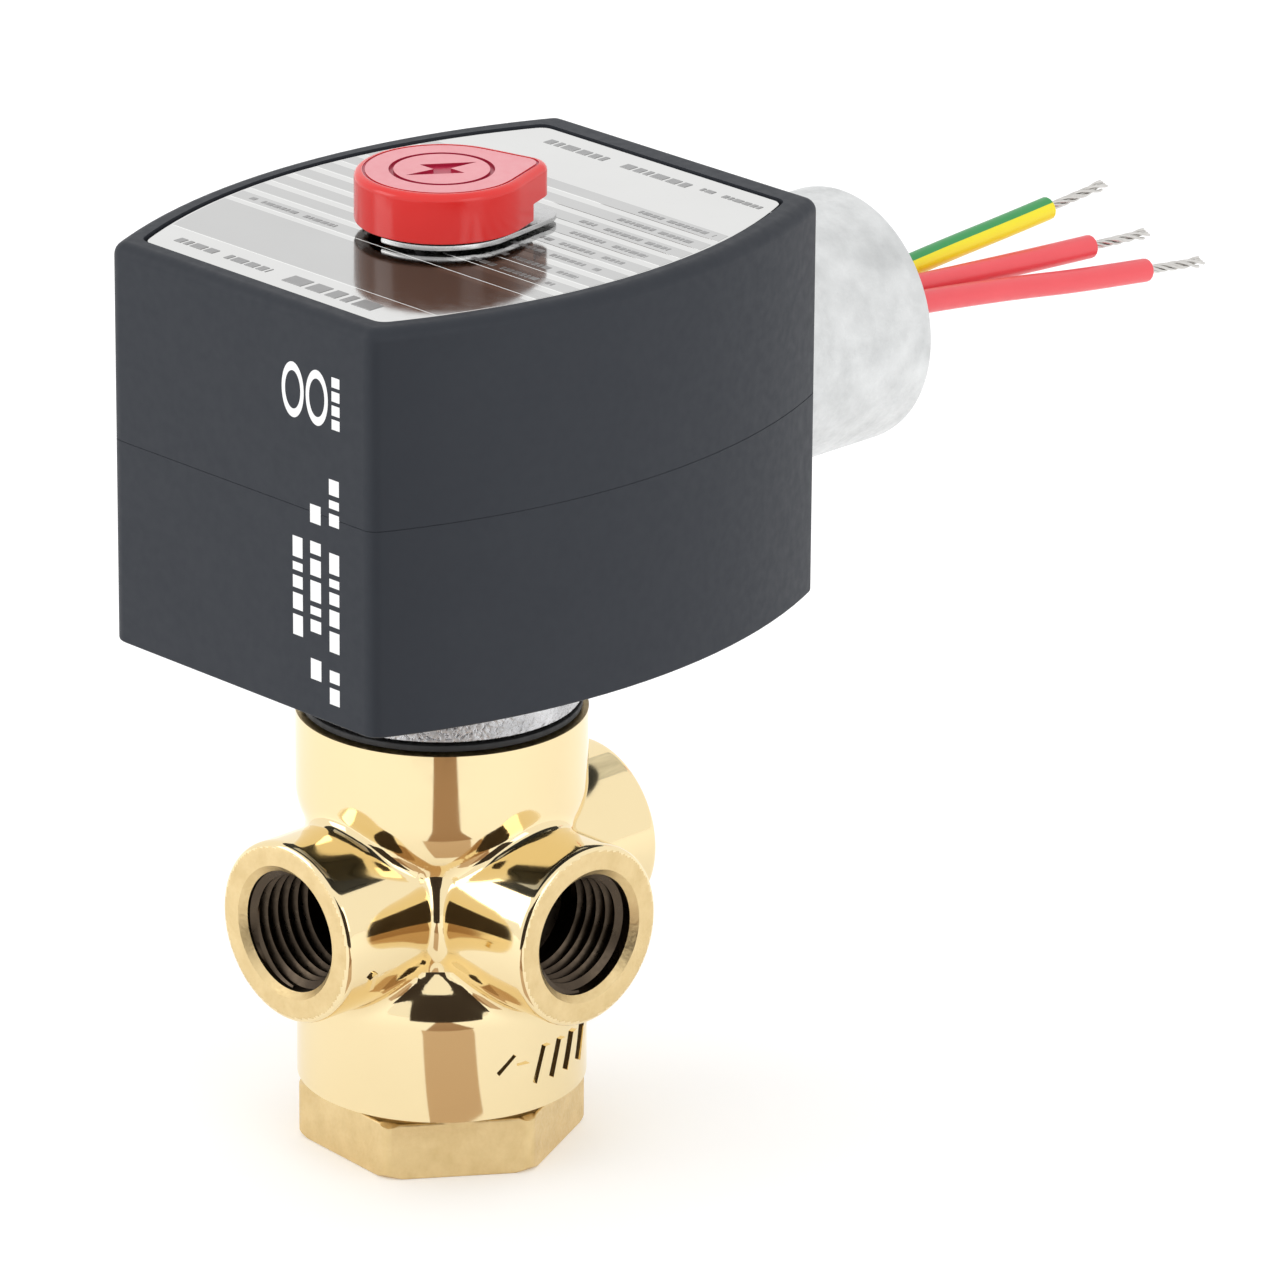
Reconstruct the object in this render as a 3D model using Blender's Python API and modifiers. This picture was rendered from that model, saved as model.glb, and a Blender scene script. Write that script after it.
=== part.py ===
"""A three-way direct-acting solenoid valve, as the separate pieces that it is put together from.

Frame: metres, +Z up along the valve axis, origin at the middle of the end cap's flat underside.
+Y is the way the conduit hub points, and -Y is the flat front of the coil housing.
"""

import math

import bmesh
import bpy
from mathutils import Vector

MM = 0.001

# Clearances between pieces, shared by the whole model.
FIT = 0.1 * MM  # pressed, brazed or screwed together
GAP = 0.3 * MM  # resting on each other, or running past each other

# Valve body: a brass casting turned about Z, with three threaded bosses at one height.
BODY_RADIUS = 15.5 * MM
BODY_HEIGHT = 41.4 * MM
BODY_WALL = 3.3 * MM
WAIST_DEPTH = 3.0 * MM
SHOULDER_RADIUS = 8.0 * MM
PORT_HEIGHT = 21.6 * MM  # port axis above the body's underside
PORT_REACH = 22.5 * MM  # valve axis to each port's face
BOSS_RADIUS = 9.9 * MM
BOSS_EDGE = 0.6 * MM
PORT_RADIUS = 6.4 * MM  # mean radius of a quarter-inch pipe thread
PORT_CHAMFER = 1.1 * MM
PORT_DEPTH = 11.0 * MM
PASSAGE_RADIUS = 1.9 * MM

# Seats and chambers inside the body.
SEAT_OFFSET = 8.2 * MM  # each seat's distance from the port axis
SEAT_BORE = 2.4 * MM
SEAT_LAND = 1.4 * MM
SEAT_NOSE = 1.0 * MM
CHAMBER_RADIUS = 7.6 * MM
STROKE = 1.2 * MM

# End cap: hexagon head, threaded neck, spring pocket.
HEX_HEIGHT = 6.4 * MM
HEX_PROUD = 0.1 * MM  # corners stand this far outside the body
HEAD_SHOULDER = 0.5 * MM
HEX_TURN = math.radians(24.7)  # from a corner on +Y
NECK_LENGTH = 6.1 * MM
POCKET_FLOOR = 3.2 * MM
POCKET_RADIUS = 6.6 * MM

# Sealing ring under the body, and the flat gasket on top of it.
RING_WIRE = 0.7 * MM
RING_POCKET = 1.6 * MM
GASKET = 0.7 * MM
GASKET_INSET = 0.6 * MM

# Bonnet, core tube and fixed core.
SPIGOT_LENGTH = 7.9 * MM
FLANGE_HEIGHT = 5.0 * MM
FLANGE_INSET = 0.7 * MM
NOTCH_COUNT = 6
NOTCH_RADIUS = 1.3 * MM
TUBE_RADIUS = 6.6 * MM
TUBE_WALL = 0.7 * MM
TUBE_SEAT = 3.0 * MM  # solid length of bonnet below the tube
CORE_LENGTH = 33.0 * MM
SPRING_BORE = 2.6 * MM
SPRING_BORE_DEPTH = 10.0 * MM
STUD_RADIUS = 4.5 * MM
STUD_HEAD = 2.3 * MM
GROOVE_WIDTH = 1.2 * MM
GROOVE_DEPTH = 1.0 * MM

# Coil housing: flat front and back, bulging sides. The back wall is wide enough for the hub's flange.
WASHER_SPACE = 2.7 * MM
HUB_RADIUS = 14.05 * MM
HUB_MARGIN = 5.55 * MM
HOUSING_WIDTH = 2 * (HUB_RADIUS + HUB_MARGIN)
HOUSING_HEIGHT = 43.8 * MM
FRONT_REACH = 28.2 * MM
BACK_REACH = 35.6 * MM
BULGE = 7.45 * MM
HOUSING_CORNER = 1.2 * MM
HOUSING_BEVEL = 1.4 * MM
HOUSING_WALL = 3.0 * MM
HOUSING_ROOF = 3.2 * MM

# Magnet: steel strap and plate round a wound bobbin.
STRAP = 2.5 * MM
STRAP_WIDTH = 22.0 * MM
STRAP_BEND = 3.0 * MM
YOKE_COVER = 4.6 * MM  # moulding between the strap and the housing's front wall
PLATE_MARGIN = 2.0 * MM
SLEEVE_WALL = 0.5 * MM
SLEEVE_LENGTH = 12.0 * MM
BOBBIN_WALL = 1.0 * MM
BOBBIN_FLANGE = 1.6 * MM
TAPE = 0.4 * MM
WINDING_INSET = 1.0 * MM

# Conduit hub and the leads' seal inside it.
HUB_LENGTH = 23.3 * MM
HUB_DROP = 1.1 * MM  # below the middle of the housing
HUB_WALL = 3.75 * MM
HUB_THREAD_DEPTH = 16.0 * MM
HUB_FLANGE = 2.3 * MM
HUB_NECK = 2.0 * MM
SEAL_RADIUS = 7.9 * MM
SEAL_PROUD = 1.4 * MM

# Nameplate, clip and cap.
RECESS = 1.0 * MM
NAMEPLATE = 0.5 * MM
NAMEPLATE_SIDE = 1.8 * MM
NAMEPLATE_FRONT = 3.0 * MM
NAMEPLATE_BACK = 3.7 * MM
NAMEPLATE_BULGE = 6.7 * MM
CLIP = 0.6 * MM
CLIP_RADIUS = 8.4 * MM
CLIP_REACH = 12.2 * MM
CAP_RADIUS = 9.1 * MM
CAP_HEIGHT = 5.3 * MM
CAP_CORNER = 2.6 * MM
CAP_REACH = 11.2 * MM
CAP_ROOF = 1.5 * MM
CAP_WALL = 1.4 * MM
CAP_BEVEL = 0.5 * MM
CAP_NOTCH = 1.9 * MM
CAP_TURN = math.radians(62)  # which way the cap's corner points, from +X

# Leads: each route is set out from the seal's face, and then holds its own points.
LEAD_RADIUS = 1.32 * MM
STRAND_RADIUS = 0.55 * MM
STRAND_LENGTH = 9.5 * MM

# How finely round things are cut.
ROUND = 32
SMALL_ROUND = 24
MERGE = 0.00001

# Levels along the valve axis, worked out upwards.
BODY_BOTTOM = HEX_HEIGHT + HEAD_SHOULDER + GAP
BODY_TOP = BODY_BOTTOM + BODY_HEIGHT
PORT_Z = BODY_BOTTOM + PORT_HEIGHT
LOWER_SEAT = PORT_Z - SEAT_OFFSET
UPPER_SEAT = PORT_Z + SEAT_OFFSET
NECK_TOP = HEX_HEIGHT + HEAD_SHOULDER + NECK_LENGTH
SPIGOT_BOTTOM = BODY_TOP - SPIGOT_LENGTH
FLANGE_BOTTOM = BODY_TOP + GASKET + 2 * GAP
FLANGE_TOP = FLANGE_BOTTOM + FLANGE_HEIGHT
HOUSING_BOTTOM = FLANGE_TOP + WASHER_SPACE
HOUSING_TOP = HOUSING_BOTTOM + HOUSING_HEIGHT
CORE_BOTTOM = UPPER_SEAT + GAP
CORE_TOP = CORE_BOTTOM + CORE_LENGTH
PLUG_BOTTOM = CORE_TOP + STROKE + GAP
TUBE_TOP = HOUSING_TOP - HOUSING_ROOF
NAMEPLATE_BOTTOM = HOUSING_TOP - RECESS + GAP
CLIP_BOTTOM = NAMEPLATE_BOTTOM + NAMEPLATE + GAP
CAP_BOTTOM = CLIP_BOTTOM + CLIP + GAP
CAP_TOP = CAP_BOTTOM + CAP_HEIGHT
PLATE_BOTTOM = HOUSING_BOTTOM + FIT
PLATE_TOP = PLATE_BOTTOM + STRAP
CAVITY_TOP = HOUSING_TOP - HOUSING_ROOF
WEB_TOP = CAVITY_TOP - GAP
WEB_BOTTOM = WEB_TOP - STRAP
HUB_Z = (HOUSING_BOTTOM + HOUSING_TOP) / 2 - HUB_DROP

# Radii and reaches that follow from others.
BONNET_THREAD = BODY_RADIUS - BODY_WALL
END_THREAD = BODY_RADIUS - BODY_WALL - FIT
UPPER_CHAMBER = BONNET_THREAD - 2.6 * MM
RING_RADIUS = END_THREAD + RING_WIRE + GAP
RING_SEAT = RING_RADIUS + RING_WIRE + FIT
TUBE_BORE = TUBE_RADIUS - TUBE_WALL
CORE_RADIUS = TUBE_BORE - GAP
COIL_BORE = TUBE_RADIUS + GAP
BOBBIN_BORE = COIL_BORE + SLEEVE_WALL + FIT
YOKE_REACH = FRONT_REACH - HOUSING_WALL - YOKE_COVER
COIL_RADIUS = YOKE_REACH - STRAP - 2 * GAP
BACK_INNER = BACK_REACH - HOUSING_WALL
HUB_OUTER_Y = BACK_REACH + GAP
HUB_MOUTH_Y = HUB_OUTER_Y + HUB_LENGTH
HUB_STEP_Y = HUB_MOUTH_Y - HUB_THREAD_DEPTH
HUB_INNER_Y = BACK_INNER - GAP - HUB_FLANGE
SEAL_FACE_Y = HUB_STEP_Y + SEAL_PROUD


def clear_scene():
    for obj in list(bpy.data.objects):
        bpy.data.objects.remove(obj)


def collection(name):
    made = bpy.data.collections.new(name)
    bpy.context.scene.collection.children.link(made)
    return made


def material(name, color, roughness, metallic):
    made = bpy.data.materials.new(name)
    made.use_nodes = True
    shader = made.node_tree.nodes["Principled BSDF"]
    shader.inputs["Base Color"].default_value = (*color, 1.0)
    shader.inputs["Roughness"].default_value = roughness
    shader.inputs["Metallic"].default_value = metallic
    return made


clear_scene()
PARTS = collection("solenoid_valve")
CUTTERS = collection("cutters")

BRASS = material("polished_brass", (0.83, 0.62, 0.28), 0.15, 1.0)
STEEL = material("stainless_steel", (0.68, 0.68, 0.66), 0.3, 1.0)
ZINC = material("zinc_plated_steel", (0.72, 0.73, 0.72), 0.4, 1.0)
COPPER = material("copper", (0.72, 0.35, 0.18), 0.35, 1.0)
MOULDING = material("black_moulding", (0.05, 0.055, 0.07), 0.45, 0.0)
RED = material("red_plastic", (0.78, 0.06, 0.08), 0.3, 0.0)
LABEL = material("aluminium_label", (0.78, 0.78, 0.77), 0.35, 1.0)
RUBBER = material("black_rubber", (0.03, 0.03, 0.03), 0.7, 0.0)
NYLON = material("white_nylon", (0.82, 0.8, 0.72), 0.5, 0.0)
TAPE_YELLOW = material("polyester_tape", (0.75, 0.6, 0.2), 0.4, 0.0)
GREEN_YELLOW = material("green_yellow_insulation", (0.9, 0.82, 0.08), 0.4, 0.0)
RED_WIRE = material("red_insulation", (0.85, 0.2, 0.26), 0.4, 0.0)
TINNED = material("tinned_strands", (0.7, 0.7, 0.68), 0.35, 1.0)


def add(name, data, finish, helper=False):
    """A new object in its collection. A helper is a cutter, drawn as a wire and never a piece."""
    obj = bpy.data.objects.new(name, data)
    (CUTTERS if helper else PARTS).objects.link(obj)
    if helper:
        obj.hide_render = True
        obj.display_type = "WIRE"
    elif finish:
        data.materials.append(finish)
    return obj


def as_mesh(obj):
    """The object's evaluated shape as its own plain mesh, with loose seams welded."""
    bpy.context.view_layer.update()
    graph = bpy.context.evaluated_depsgraph_get()
    mesh = bpy.data.meshes.new_from_object(obj.evaluated_get(graph))
    bm = bmesh.new()
    bm.from_mesh(mesh)
    bmesh.ops.remove_doubles(bm, verts=bm.verts, dist=MERGE)
    bm.to_mesh(mesh)
    bm.free()
    return mesh


def settled(obj):
    """The same object with its modifiers worked into its mesh."""
    mesh = as_mesh(obj)
    obj.modifiers.clear()
    obj.data = mesh
    return obj


def turned(name, profile, finish, ring=False, helper=False, steps=ROUND):
    """A turned piece. The profile is (radius, height) down the outer side; a ring's goes back up inside."""
    mesh = bpy.data.meshes.new(name)
    count = len(profile)
    edges = [(i, (i + 1) % count) for i in range(count if ring else count - 1)]
    mesh.from_pydata([(radius, 0.0, height) for radius, height in profile], edges, [])
    obj = add(name, mesh, finish, helper)
    spin = obj.modifiers.new("Turn", "SCREW")
    spin.steps = spin.render_steps = steps
    spin.use_merge_vertices = True
    spin.merge_threshold = MERGE
    return obj


def sleeve(name, inner, outer, low, high, finish, steps=SMALL_ROUND):
    profile = [(outer, high), (outer, low), (inner, low), (inner, high)]
    return turned(name, profile, finish, ring=True, steps=steps)


def turned_cutter(name, profile, steps=ROUND):
    return turned(name, profile, None, helper=True, steps=steps)


def rod(name, start, end, radius, steps=SMALL_ROUND):
    """A cutter: a straight round rod between two points."""
    start, end = Vector(start), Vector(end)
    bm = bmesh.new()
    bmesh.ops.create_cone(
        bm, cap_ends=True, segments=steps, radius1=radius, radius2=radius, depth=(end - start).length
    )
    mesh = bpy.data.meshes.new(name)
    bm.to_mesh(mesh)
    bm.free()
    obj = add(name, mesh, None, helper=True)
    obj.location = (start + end) / 2
    obj.rotation_euler = (end - start).to_track_quat("Z", "X").to_euler()
    return obj


def block(name, low, high, finish=None, helper=False):
    low, high = Vector(low), Vector(high)
    bm = bmesh.new()
    bmesh.ops.create_cube(bm, size=1.0)
    bmesh.ops.scale(bm, vec=high - low, verts=bm.verts)
    bmesh.ops.translate(bm, vec=(low + high) / 2, verts=bm.verts)
    mesh = bpy.data.meshes.new(name)
    bm.to_mesh(mesh)
    bm.free()
    return add(name, mesh, finish, helper)


def flat(name, outline, low, high, finish=None, helper=False):
    """A flat piece: its outline, seen from above, between two heights."""
    curve = bpy.data.curves.new(name, "CURVE")
    curve.dimensions = "2D"
    curve.fill_mode = "BOTH"
    curve.extrude = (high - low) / 2
    spline = curve.splines.new("POLY")
    spline.use_cyclic_u = True
    spline.points.add(len(outline) - 1)
    for point, (x, y) in zip(spline.points, outline):
        point.co = (x, y, 0.0, 1.0)
    drawn = bpy.data.objects.new(name + "_outline", curve)
    CUTTERS.objects.link(drawn)
    mesh = as_mesh(drawn)
    bpy.data.objects.remove(drawn)
    mesh.name = name
    obj = add(name, mesh, finish, helper)
    obj.location.z = (low + high) / 2
    return obj


def tube(name, points, radius, finish, steps=2):
    curve = bpy.data.curves.new(name, "CURVE")
    curve.dimensions = "3D"
    curve.bevel_depth = radius
    curve.bevel_resolution = steps
    curve.use_fill_caps = True
    spline = curve.splines.new("POLY")
    spline.points.add(len(points) - 1)
    for point, place in zip(spline.points, points):
        point.co = (*place, 1.0)
    return add(name, curve, finish)


def boolean(obj, others, operation):
    for other in others:
        made = obj.modifiers.new(other.name, "BOOLEAN")
        made.operation = operation
        made.object = other


def cut(obj, *others):
    boolean(obj, others, "DIFFERENCE")
    return obj


def join(obj, *others):
    boolean(obj, others, "UNION")
    return obj


def facing(obj, direction, place):
    """Lays a piece that was turned about Z along a direction, with its zero height at a place."""
    obj.rotation_euler = Vector(direction).to_track_quat("Z", "Y").to_euler()
    obj.location = place
    return obj


def arc(centre, radius, start, end, count):
    """Points on an arc, with its angles in radians."""
    steps = [start + (end - start) * i / count for i in range(count + 1)]
    return [(centre[0] + radius * math.cos(a), centre[1] + radius * math.sin(a)) for a in steps]


def bulged_outline(half_width, front, back, bulge, corner, count=12):
    """A rectangle with flat front and back, sides that bulge, and small round corners."""
    half_length = (front + back) / 2
    middle = (back - front) / 2
    radius = (half_length**2 + bulge**2) / (2 * bulge)
    centre = half_width + bulge - radius
    sweep = math.asin((half_length - corner) / radius)
    right = arc((centre, middle), radius, -sweep, sweep, count)
    start, end = Vector((half_width - corner, -front)), Vector((half_width - corner, back))
    low = [rounded(start, Vector((half_width, -front)), Vector(right[0]), t / 4) for t in range(4)]
    high = [rounded(Vector(right[-1]), Vector((half_width, back)), end, t / 4) for t in range(1, 5)]
    side = low + right + high
    return side + [(-x, y) for x, y in reversed(side)]


def rounded(start, middle, end, t):
    """A point along the smooth bend from start to end that leans towards middle."""
    point = start * (1 - t) ** 2 + middle * 2 * t * (1 - t) + end * t**2
    return (point.x, point.y)


def teardrop(big, small, reach, turn, count=20):
    """The outline round a large disc at the origin and a small one that makes its corner."""
    away = reach - small
    lean = math.acos((big - small) / away)
    centre = (away * math.cos(turn), away * math.sin(turn))
    points = arc((0.0, 0.0), big, turn + lean, turn + 2 * math.pi - lean, count)
    return points + arc(centre, small, turn - lean, turn + lean, count // 3)


def bevel_rim(obj, height, width, segments):
    """Rounds the edges that lie at one height of a flat-topped piece."""
    mesh = obj.data
    bm = bmesh.new()
    bm.from_mesh(mesh)
    bmesh.ops.dissolve_limit(bm, angle_limit=math.radians(1), verts=bm.verts, edges=bm.edges)
    level = height - obj.location.z
    rim = [e for e in bm.edges if all(abs(v.co.z - level) < MERGE for v in e.verts)]
    bmesh.ops.bevel(
        bm,
        geom=rim,
        offset=width,
        offset_type="OFFSET",
        segments=segments,
        profile=0.5,
        affect="EDGES",
        material=-1,
    )
    bm.to_mesh(mesh)
    bm.free()


def helix(radius, low, high, turns, steps=8):
    """Points along a coil spring, whose end turns lie flat."""
    count = round(turns * steps)
    points = []
    for i in range(count + 1):
        angle = 2 * math.pi * i / steps
        share = min(max((i - steps) / (count - 2 * steps), 0.0), 1.0)
        points.append((radius * math.cos(angle), radius * math.sin(angle), low + (high - low) * share))
    return points


# ---------------------------------------------------------------- end cap


def end_cap():
    corner = BODY_RADIUS + HEX_PROUD
    bm = bmesh.new()
    bmesh.ops.create_cone(
        bm, cap_ends=True, segments=6, radius1=corner, radius2=corner, depth=HEX_HEIGHT
    )
    bmesh.ops.translate(bm, vec=(0, 0, HEX_HEIGHT / 2), verts=bm.verts)
    mesh = bpy.data.meshes.new("end_cap")
    bm.to_mesh(mesh)
    bm.free()
    cap = add("end_cap", mesh, BRASS)
    cap.rotation_euler.z = HEX_TURN
    shoulder = RING_SEAT - GAP
    neck = turned_cutter(
        "end_cap_neck",
        [
            (0, NECK_TOP),
            (END_THREAD - GAP, NECK_TOP),
            (END_THREAD - GAP, HEX_HEIGHT + HEAD_SHOULDER),
            (shoulder, HEX_HEIGHT + HEAD_SHOULDER),
            (shoulder, HEX_HEIGHT - GAP),
            (0, HEX_HEIGHT - GAP),
        ],
    )
    past = NECK_TOP + GAP
    profile = [(0, past), (POCKET_RADIUS, past), (POCKET_RADIUS, POCKET_FLOOR), (0, POCKET_FLOOR)]
    pocket = turned_cutter("end_cap_pocket", profile)
    return cut(join(cap, neck), pocket)


def end_cap_gasket():
    """A rubber ring of round section in the pocket round the end cap's neck."""
    centre = (RING_RADIUS, BODY_BOTTOM + RING_WIRE + FIT)
    section = arc(centre, RING_WIRE, math.pi / 2, -1.5 * math.pi, 6)[:-1]
    turned("end_cap_gasket", section, RUBBER, ring=True)


def body_gasket():
    """A flat gasket that shows as a dark line between the body and the bonnet."""
    low = BODY_TOP + GAP
    outer = BODY_RADIUS - GASKET_INSET
    sleeve("body_gasket", BONNET_THREAD, outer, low, low + GASKET, RUBBER, ROUND)


# ---------------------------------------------------------------- valve body


def shoulder_arc(level, towards):
    """The rounded shoulder between the full body and its waist, from the body inwards."""
    end = math.acos((SHOULDER_RADIUS - WAIST_DEPTH) / SHOULDER_RADIUS)
    points = arc((BODY_RADIUS - SHOULDER_RADIUS, 0), SHOULDER_RADIUS, 0, end, 4)
    return [(radius, level + towards * drop) for radius, drop in points]


def valve_body():
    shoulder = BOSS_RADIUS + 1.5 * MM
    outer = [(0, BODY_TOP), (BODY_RADIUS - GAP, BODY_TOP), (BODY_RADIUS, BODY_TOP - GAP)]
    outer += shoulder_arc(PORT_Z + shoulder, -1)
    outer += reversed(shoulder_arc(PORT_Z - shoulder, 1))
    outer += [(BODY_RADIUS, BODY_BOTTOM + GAP), (BODY_RADIUS - GAP, BODY_BOTTOM), (0, BODY_BOTTOM)]
    body = turned("valve_body", outer, BRASS)

    edge = BOSS_RADIUS - BOSS_EDGE
    through = [(0, PORT_REACH), (edge, PORT_REACH), (BOSS_RADIUS, PORT_REACH - BOSS_EDGE)]
    through += [(radius, -height) for radius, height in reversed(through)]
    single = [*through[:3], (BOSS_RADIUS, 0), (0, 0)]
    middle = (0, 0, PORT_Z)
    join(body, facing(turned_cutter("bosses_front_back", through), (0, 1, 0), middle))
    join(body, facing(turned_cutter("boss_side", single), (1, 0, 0), middle))

    cut(body, body_cavity())
    for name, direction in (("front", (0, -1, 0)), ("back", (0, 1, 0)), ("side", (1, 0, 0))):
        cut(body, port_socket(name, direction))
    floor = PORT_REACH - PORT_DEPTH
    into_upper = UPPER_SEAT + 2 * GAP
    into_lower = LOWER_SEAT - 3 * MM
    back_end = (0, UPPER_CHAMBER - 2 * MM, into_upper)
    side_end = (CHAMBER_RADIUS - 2 * MM, 0, into_lower)
    cut(body, rod("passage_front", (0, -floor, PORT_Z), (0, 0, PORT_Z), PASSAGE_RADIUS))
    cut(body, rod("passage_back", (0, floor, PORT_Z), back_end, PASSAGE_RADIUS))
    cut(body, rod("passage_side", (floor, 0, PORT_Z), side_end, PASSAGE_RADIUS))
    return body


def port_socket(name, direction):
    """A threaded socket with a chamfered mouth and a drill point at its floor."""
    past = 1.0 * MM
    mouth = PORT_RADIUS + PORT_CHAMFER
    profile = [
        (0, past),
        (mouth + past, past),
        (PORT_RADIUS, -PORT_CHAMFER),
        (PORT_RADIUS, -PORT_DEPTH),
        (0, -PORT_DEPTH - 2 * MM),
    ]
    place = Vector(direction) * PORT_REACH + Vector((0, 0, PORT_Z))
    return facing(turned_cutter("socket_" + name, profile), direction, place)


def body_cavity():
    """Everything that is bored along the body's own axis, as one turned cutter."""
    past = 1.0 * MM
    land = SEAT_BORE + SEAT_LAND
    return turned_cutter(
        "body_cavity",
        [
            (0, BODY_TOP + past),
            (BONNET_THREAD, BODY_TOP + past),
            (BONNET_THREAD, SPIGOT_BOTTOM - GAP),
            (UPPER_CHAMBER, SPIGOT_BOTTOM - GAP),
            (UPPER_CHAMBER, UPPER_SEAT - SEAT_NOSE),
            (land, UPPER_SEAT - SEAT_NOSE),
            (land, UPPER_SEAT),
            (SEAT_BORE, UPPER_SEAT),
            (SEAT_BORE, LOWER_SEAT),
            (land, LOWER_SEAT),
            (land, LOWER_SEAT + SEAT_NOSE),
            (CHAMBER_RADIUS, LOWER_SEAT + SEAT_NOSE),
            (CHAMBER_RADIUS, NECK_TOP + GAP),
            (END_THREAD, NECK_TOP + GAP),
            (END_THREAD, BODY_BOTTOM + RING_POCKET),
            (RING_SEAT, BODY_BOTTOM + RING_POCKET),
            (RING_SEAT, BODY_BOTTOM - past),
            (0, BODY_BOTTOM - past),
        ],
    )


# ---------------------------------------------------------------- lower disc and its holder

HOLDER_RADIUS = 5.6 * MM
HOLDER_HEIGHT = 2.7 * MM
HOLDER_SPIGOT = 2.4 * MM
HOLDER_SPIGOT_RADIUS = 2.8 * MM
DISC_HEIGHT = 1.4 * MM
PIN_RADIUS = 1.1 * MM
PIN_ROOT = 1.2 * MM


def lower_disc_group():
    """The holder, its rubber disc and the pin that the core pushes, all open at rest."""
    top = LOWER_SEAT - STROKE - GAP
    under = top - HOLDER_HEIGHT
    foot = under - HOLDER_SPIGOT
    disc_floor = top - DISC_HEIGHT - FIT
    disc_radius = SEAT_BORE + SEAT_LAND + 2 * GAP
    pin_hole = PIN_RADIUS + FIT
    lip = top - 2 * GAP
    turned(
        "disc_holder",
        [
            (disc_radius + FIT, lip),
            (HOLDER_RADIUS, lip),
            (HOLDER_RADIUS, under),
            (HOLDER_SPIGOT_RADIUS, under),
            (HOLDER_SPIGOT_RADIUS, foot),
            (pin_hole, foot),
            (pin_hole, disc_floor),
            (disc_radius + FIT, disc_floor),
        ],
        BRASS,
        ring=True,
        steps=SMALL_ROUND,
    )
    sleeve("lower_disc", pin_hole + FIT, disc_radius, disc_floor + FIT, top, RUBBER)
    pin_low, pin_high = foot + PIN_ROOT, CORE_BOTTOM - FIT
    chamfer = GAP
    turned(
        "push_pin",
        [
            (0, pin_high),
            (PIN_RADIUS - chamfer, pin_high),
            (PIN_RADIUS, pin_high - chamfer),
            (PIN_RADIUS, pin_low),
            (0, pin_low),
        ],
        STEEL,
        steps=SMALL_ROUND,
    )
    wire = 0.4 * MM
    coil = (HOLDER_SPIGOT_RADIUS + HOLDER_RADIUS) / 2
    points = helix(coil, POCKET_FLOOR + wire + FIT, under - wire - FIT, 5.5)
    tube("disc_spring", points, wire, STEEL)


# ---------------------------------------------------------------- bonnet, tube and fixed core


def bonnet():
    """The screwed base that holds the core tube, with spanner notches round its flange."""
    radius = BODY_RADIUS - FLANGE_INSET
    tube_floor = SPIGOT_BOTTOM + TUBE_SEAT
    bore = TUBE_RADIUS + FIT / 2
    piece = turned(
        "bonnet",
        [
            (bore, FLANGE_TOP),
            (radius - GAP, FLANGE_TOP),
            (radius, FLANGE_TOP - GAP),
            (radius, FLANGE_BOTTOM),
            (BONNET_THREAD - FIT, FLANGE_BOTTOM),
            (BONNET_THREAD - FIT, SPIGOT_BOTTOM),
            (TUBE_BORE, SPIGOT_BOTTOM),
            (TUBE_BORE, tube_floor),
            (bore, tube_floor),
        ],
        STEEL,
        ring=True,
    )
    low = FLANGE_TOP - FLANGE_HEIGHT / 2
    for i in range(NOTCH_COUNT):
        angle = 2 * math.pi * i / NOTCH_COUNT
        x, y = radius * math.cos(angle), radius * math.sin(angle)
        cut(piece, rod(f"notch_{i}", (x, y, low), (x, y, FLANGE_TOP + GAP), NOTCH_RADIUS, 12))
    return piece


def core_tube():
    low = SPIGOT_BOTTOM + TUBE_SEAT + FIT
    return sleeve("core_tube", TUBE_BORE, TUBE_RADIUS, low, TUBE_TOP, STEEL)


def fixed_core():
    """The plug brazed in the tube's top, with its clip stud above and a copper ring in its face."""
    radius = TUBE_BORE - FIT / 2
    step = TUBE_TOP - 2 * GAP
    neck_low = CLIP_BOTTOM - GAP
    neck_high = neck_low + GROOVE_WIDTH
    top = neck_high + STUD_HEAD
    neck = STUD_RADIUS - GROOVE_DEPTH
    ring_outer = radius - 1.3 * MM
    ring_inner = ring_outer - 0.9 * MM
    ring_depth = 1.5 * MM
    turned(
        "plug_nut",
        [
            (0, top),
            (STUD_RADIUS - GAP, top),
            (STUD_RADIUS, top - GAP),
            (STUD_RADIUS, neck_high),
            (neck, neck_high),
            (neck, neck_low),
            (STUD_RADIUS, neck_low),
            (STUD_RADIUS, step),
            (radius, step),
            (radius, PLUG_BOTTOM),
            (ring_outer, PLUG_BOTTOM),
            (ring_outer, PLUG_BOTTOM + ring_depth),
            (ring_inner, PLUG_BOTTOM + ring_depth),
            (ring_inner, PLUG_BOTTOM),
            (SPRING_BORE, PLUG_BOTTOM),
            (SPRING_BORE, PLUG_BOTTOM + SEAT_NOSE),
            (0, PLUG_BOTTOM + SEAT_NOSE),
        ],
        STEEL,
        steps=SMALL_ROUND,
    )
    low, high = PLUG_BOTTOM + FIT, PLUG_BOTTOM + ring_depth - FIT
    sleeve("shading_ring", ring_inner + FIT, ring_outer - FIT, low, high, COPPER)


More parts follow.
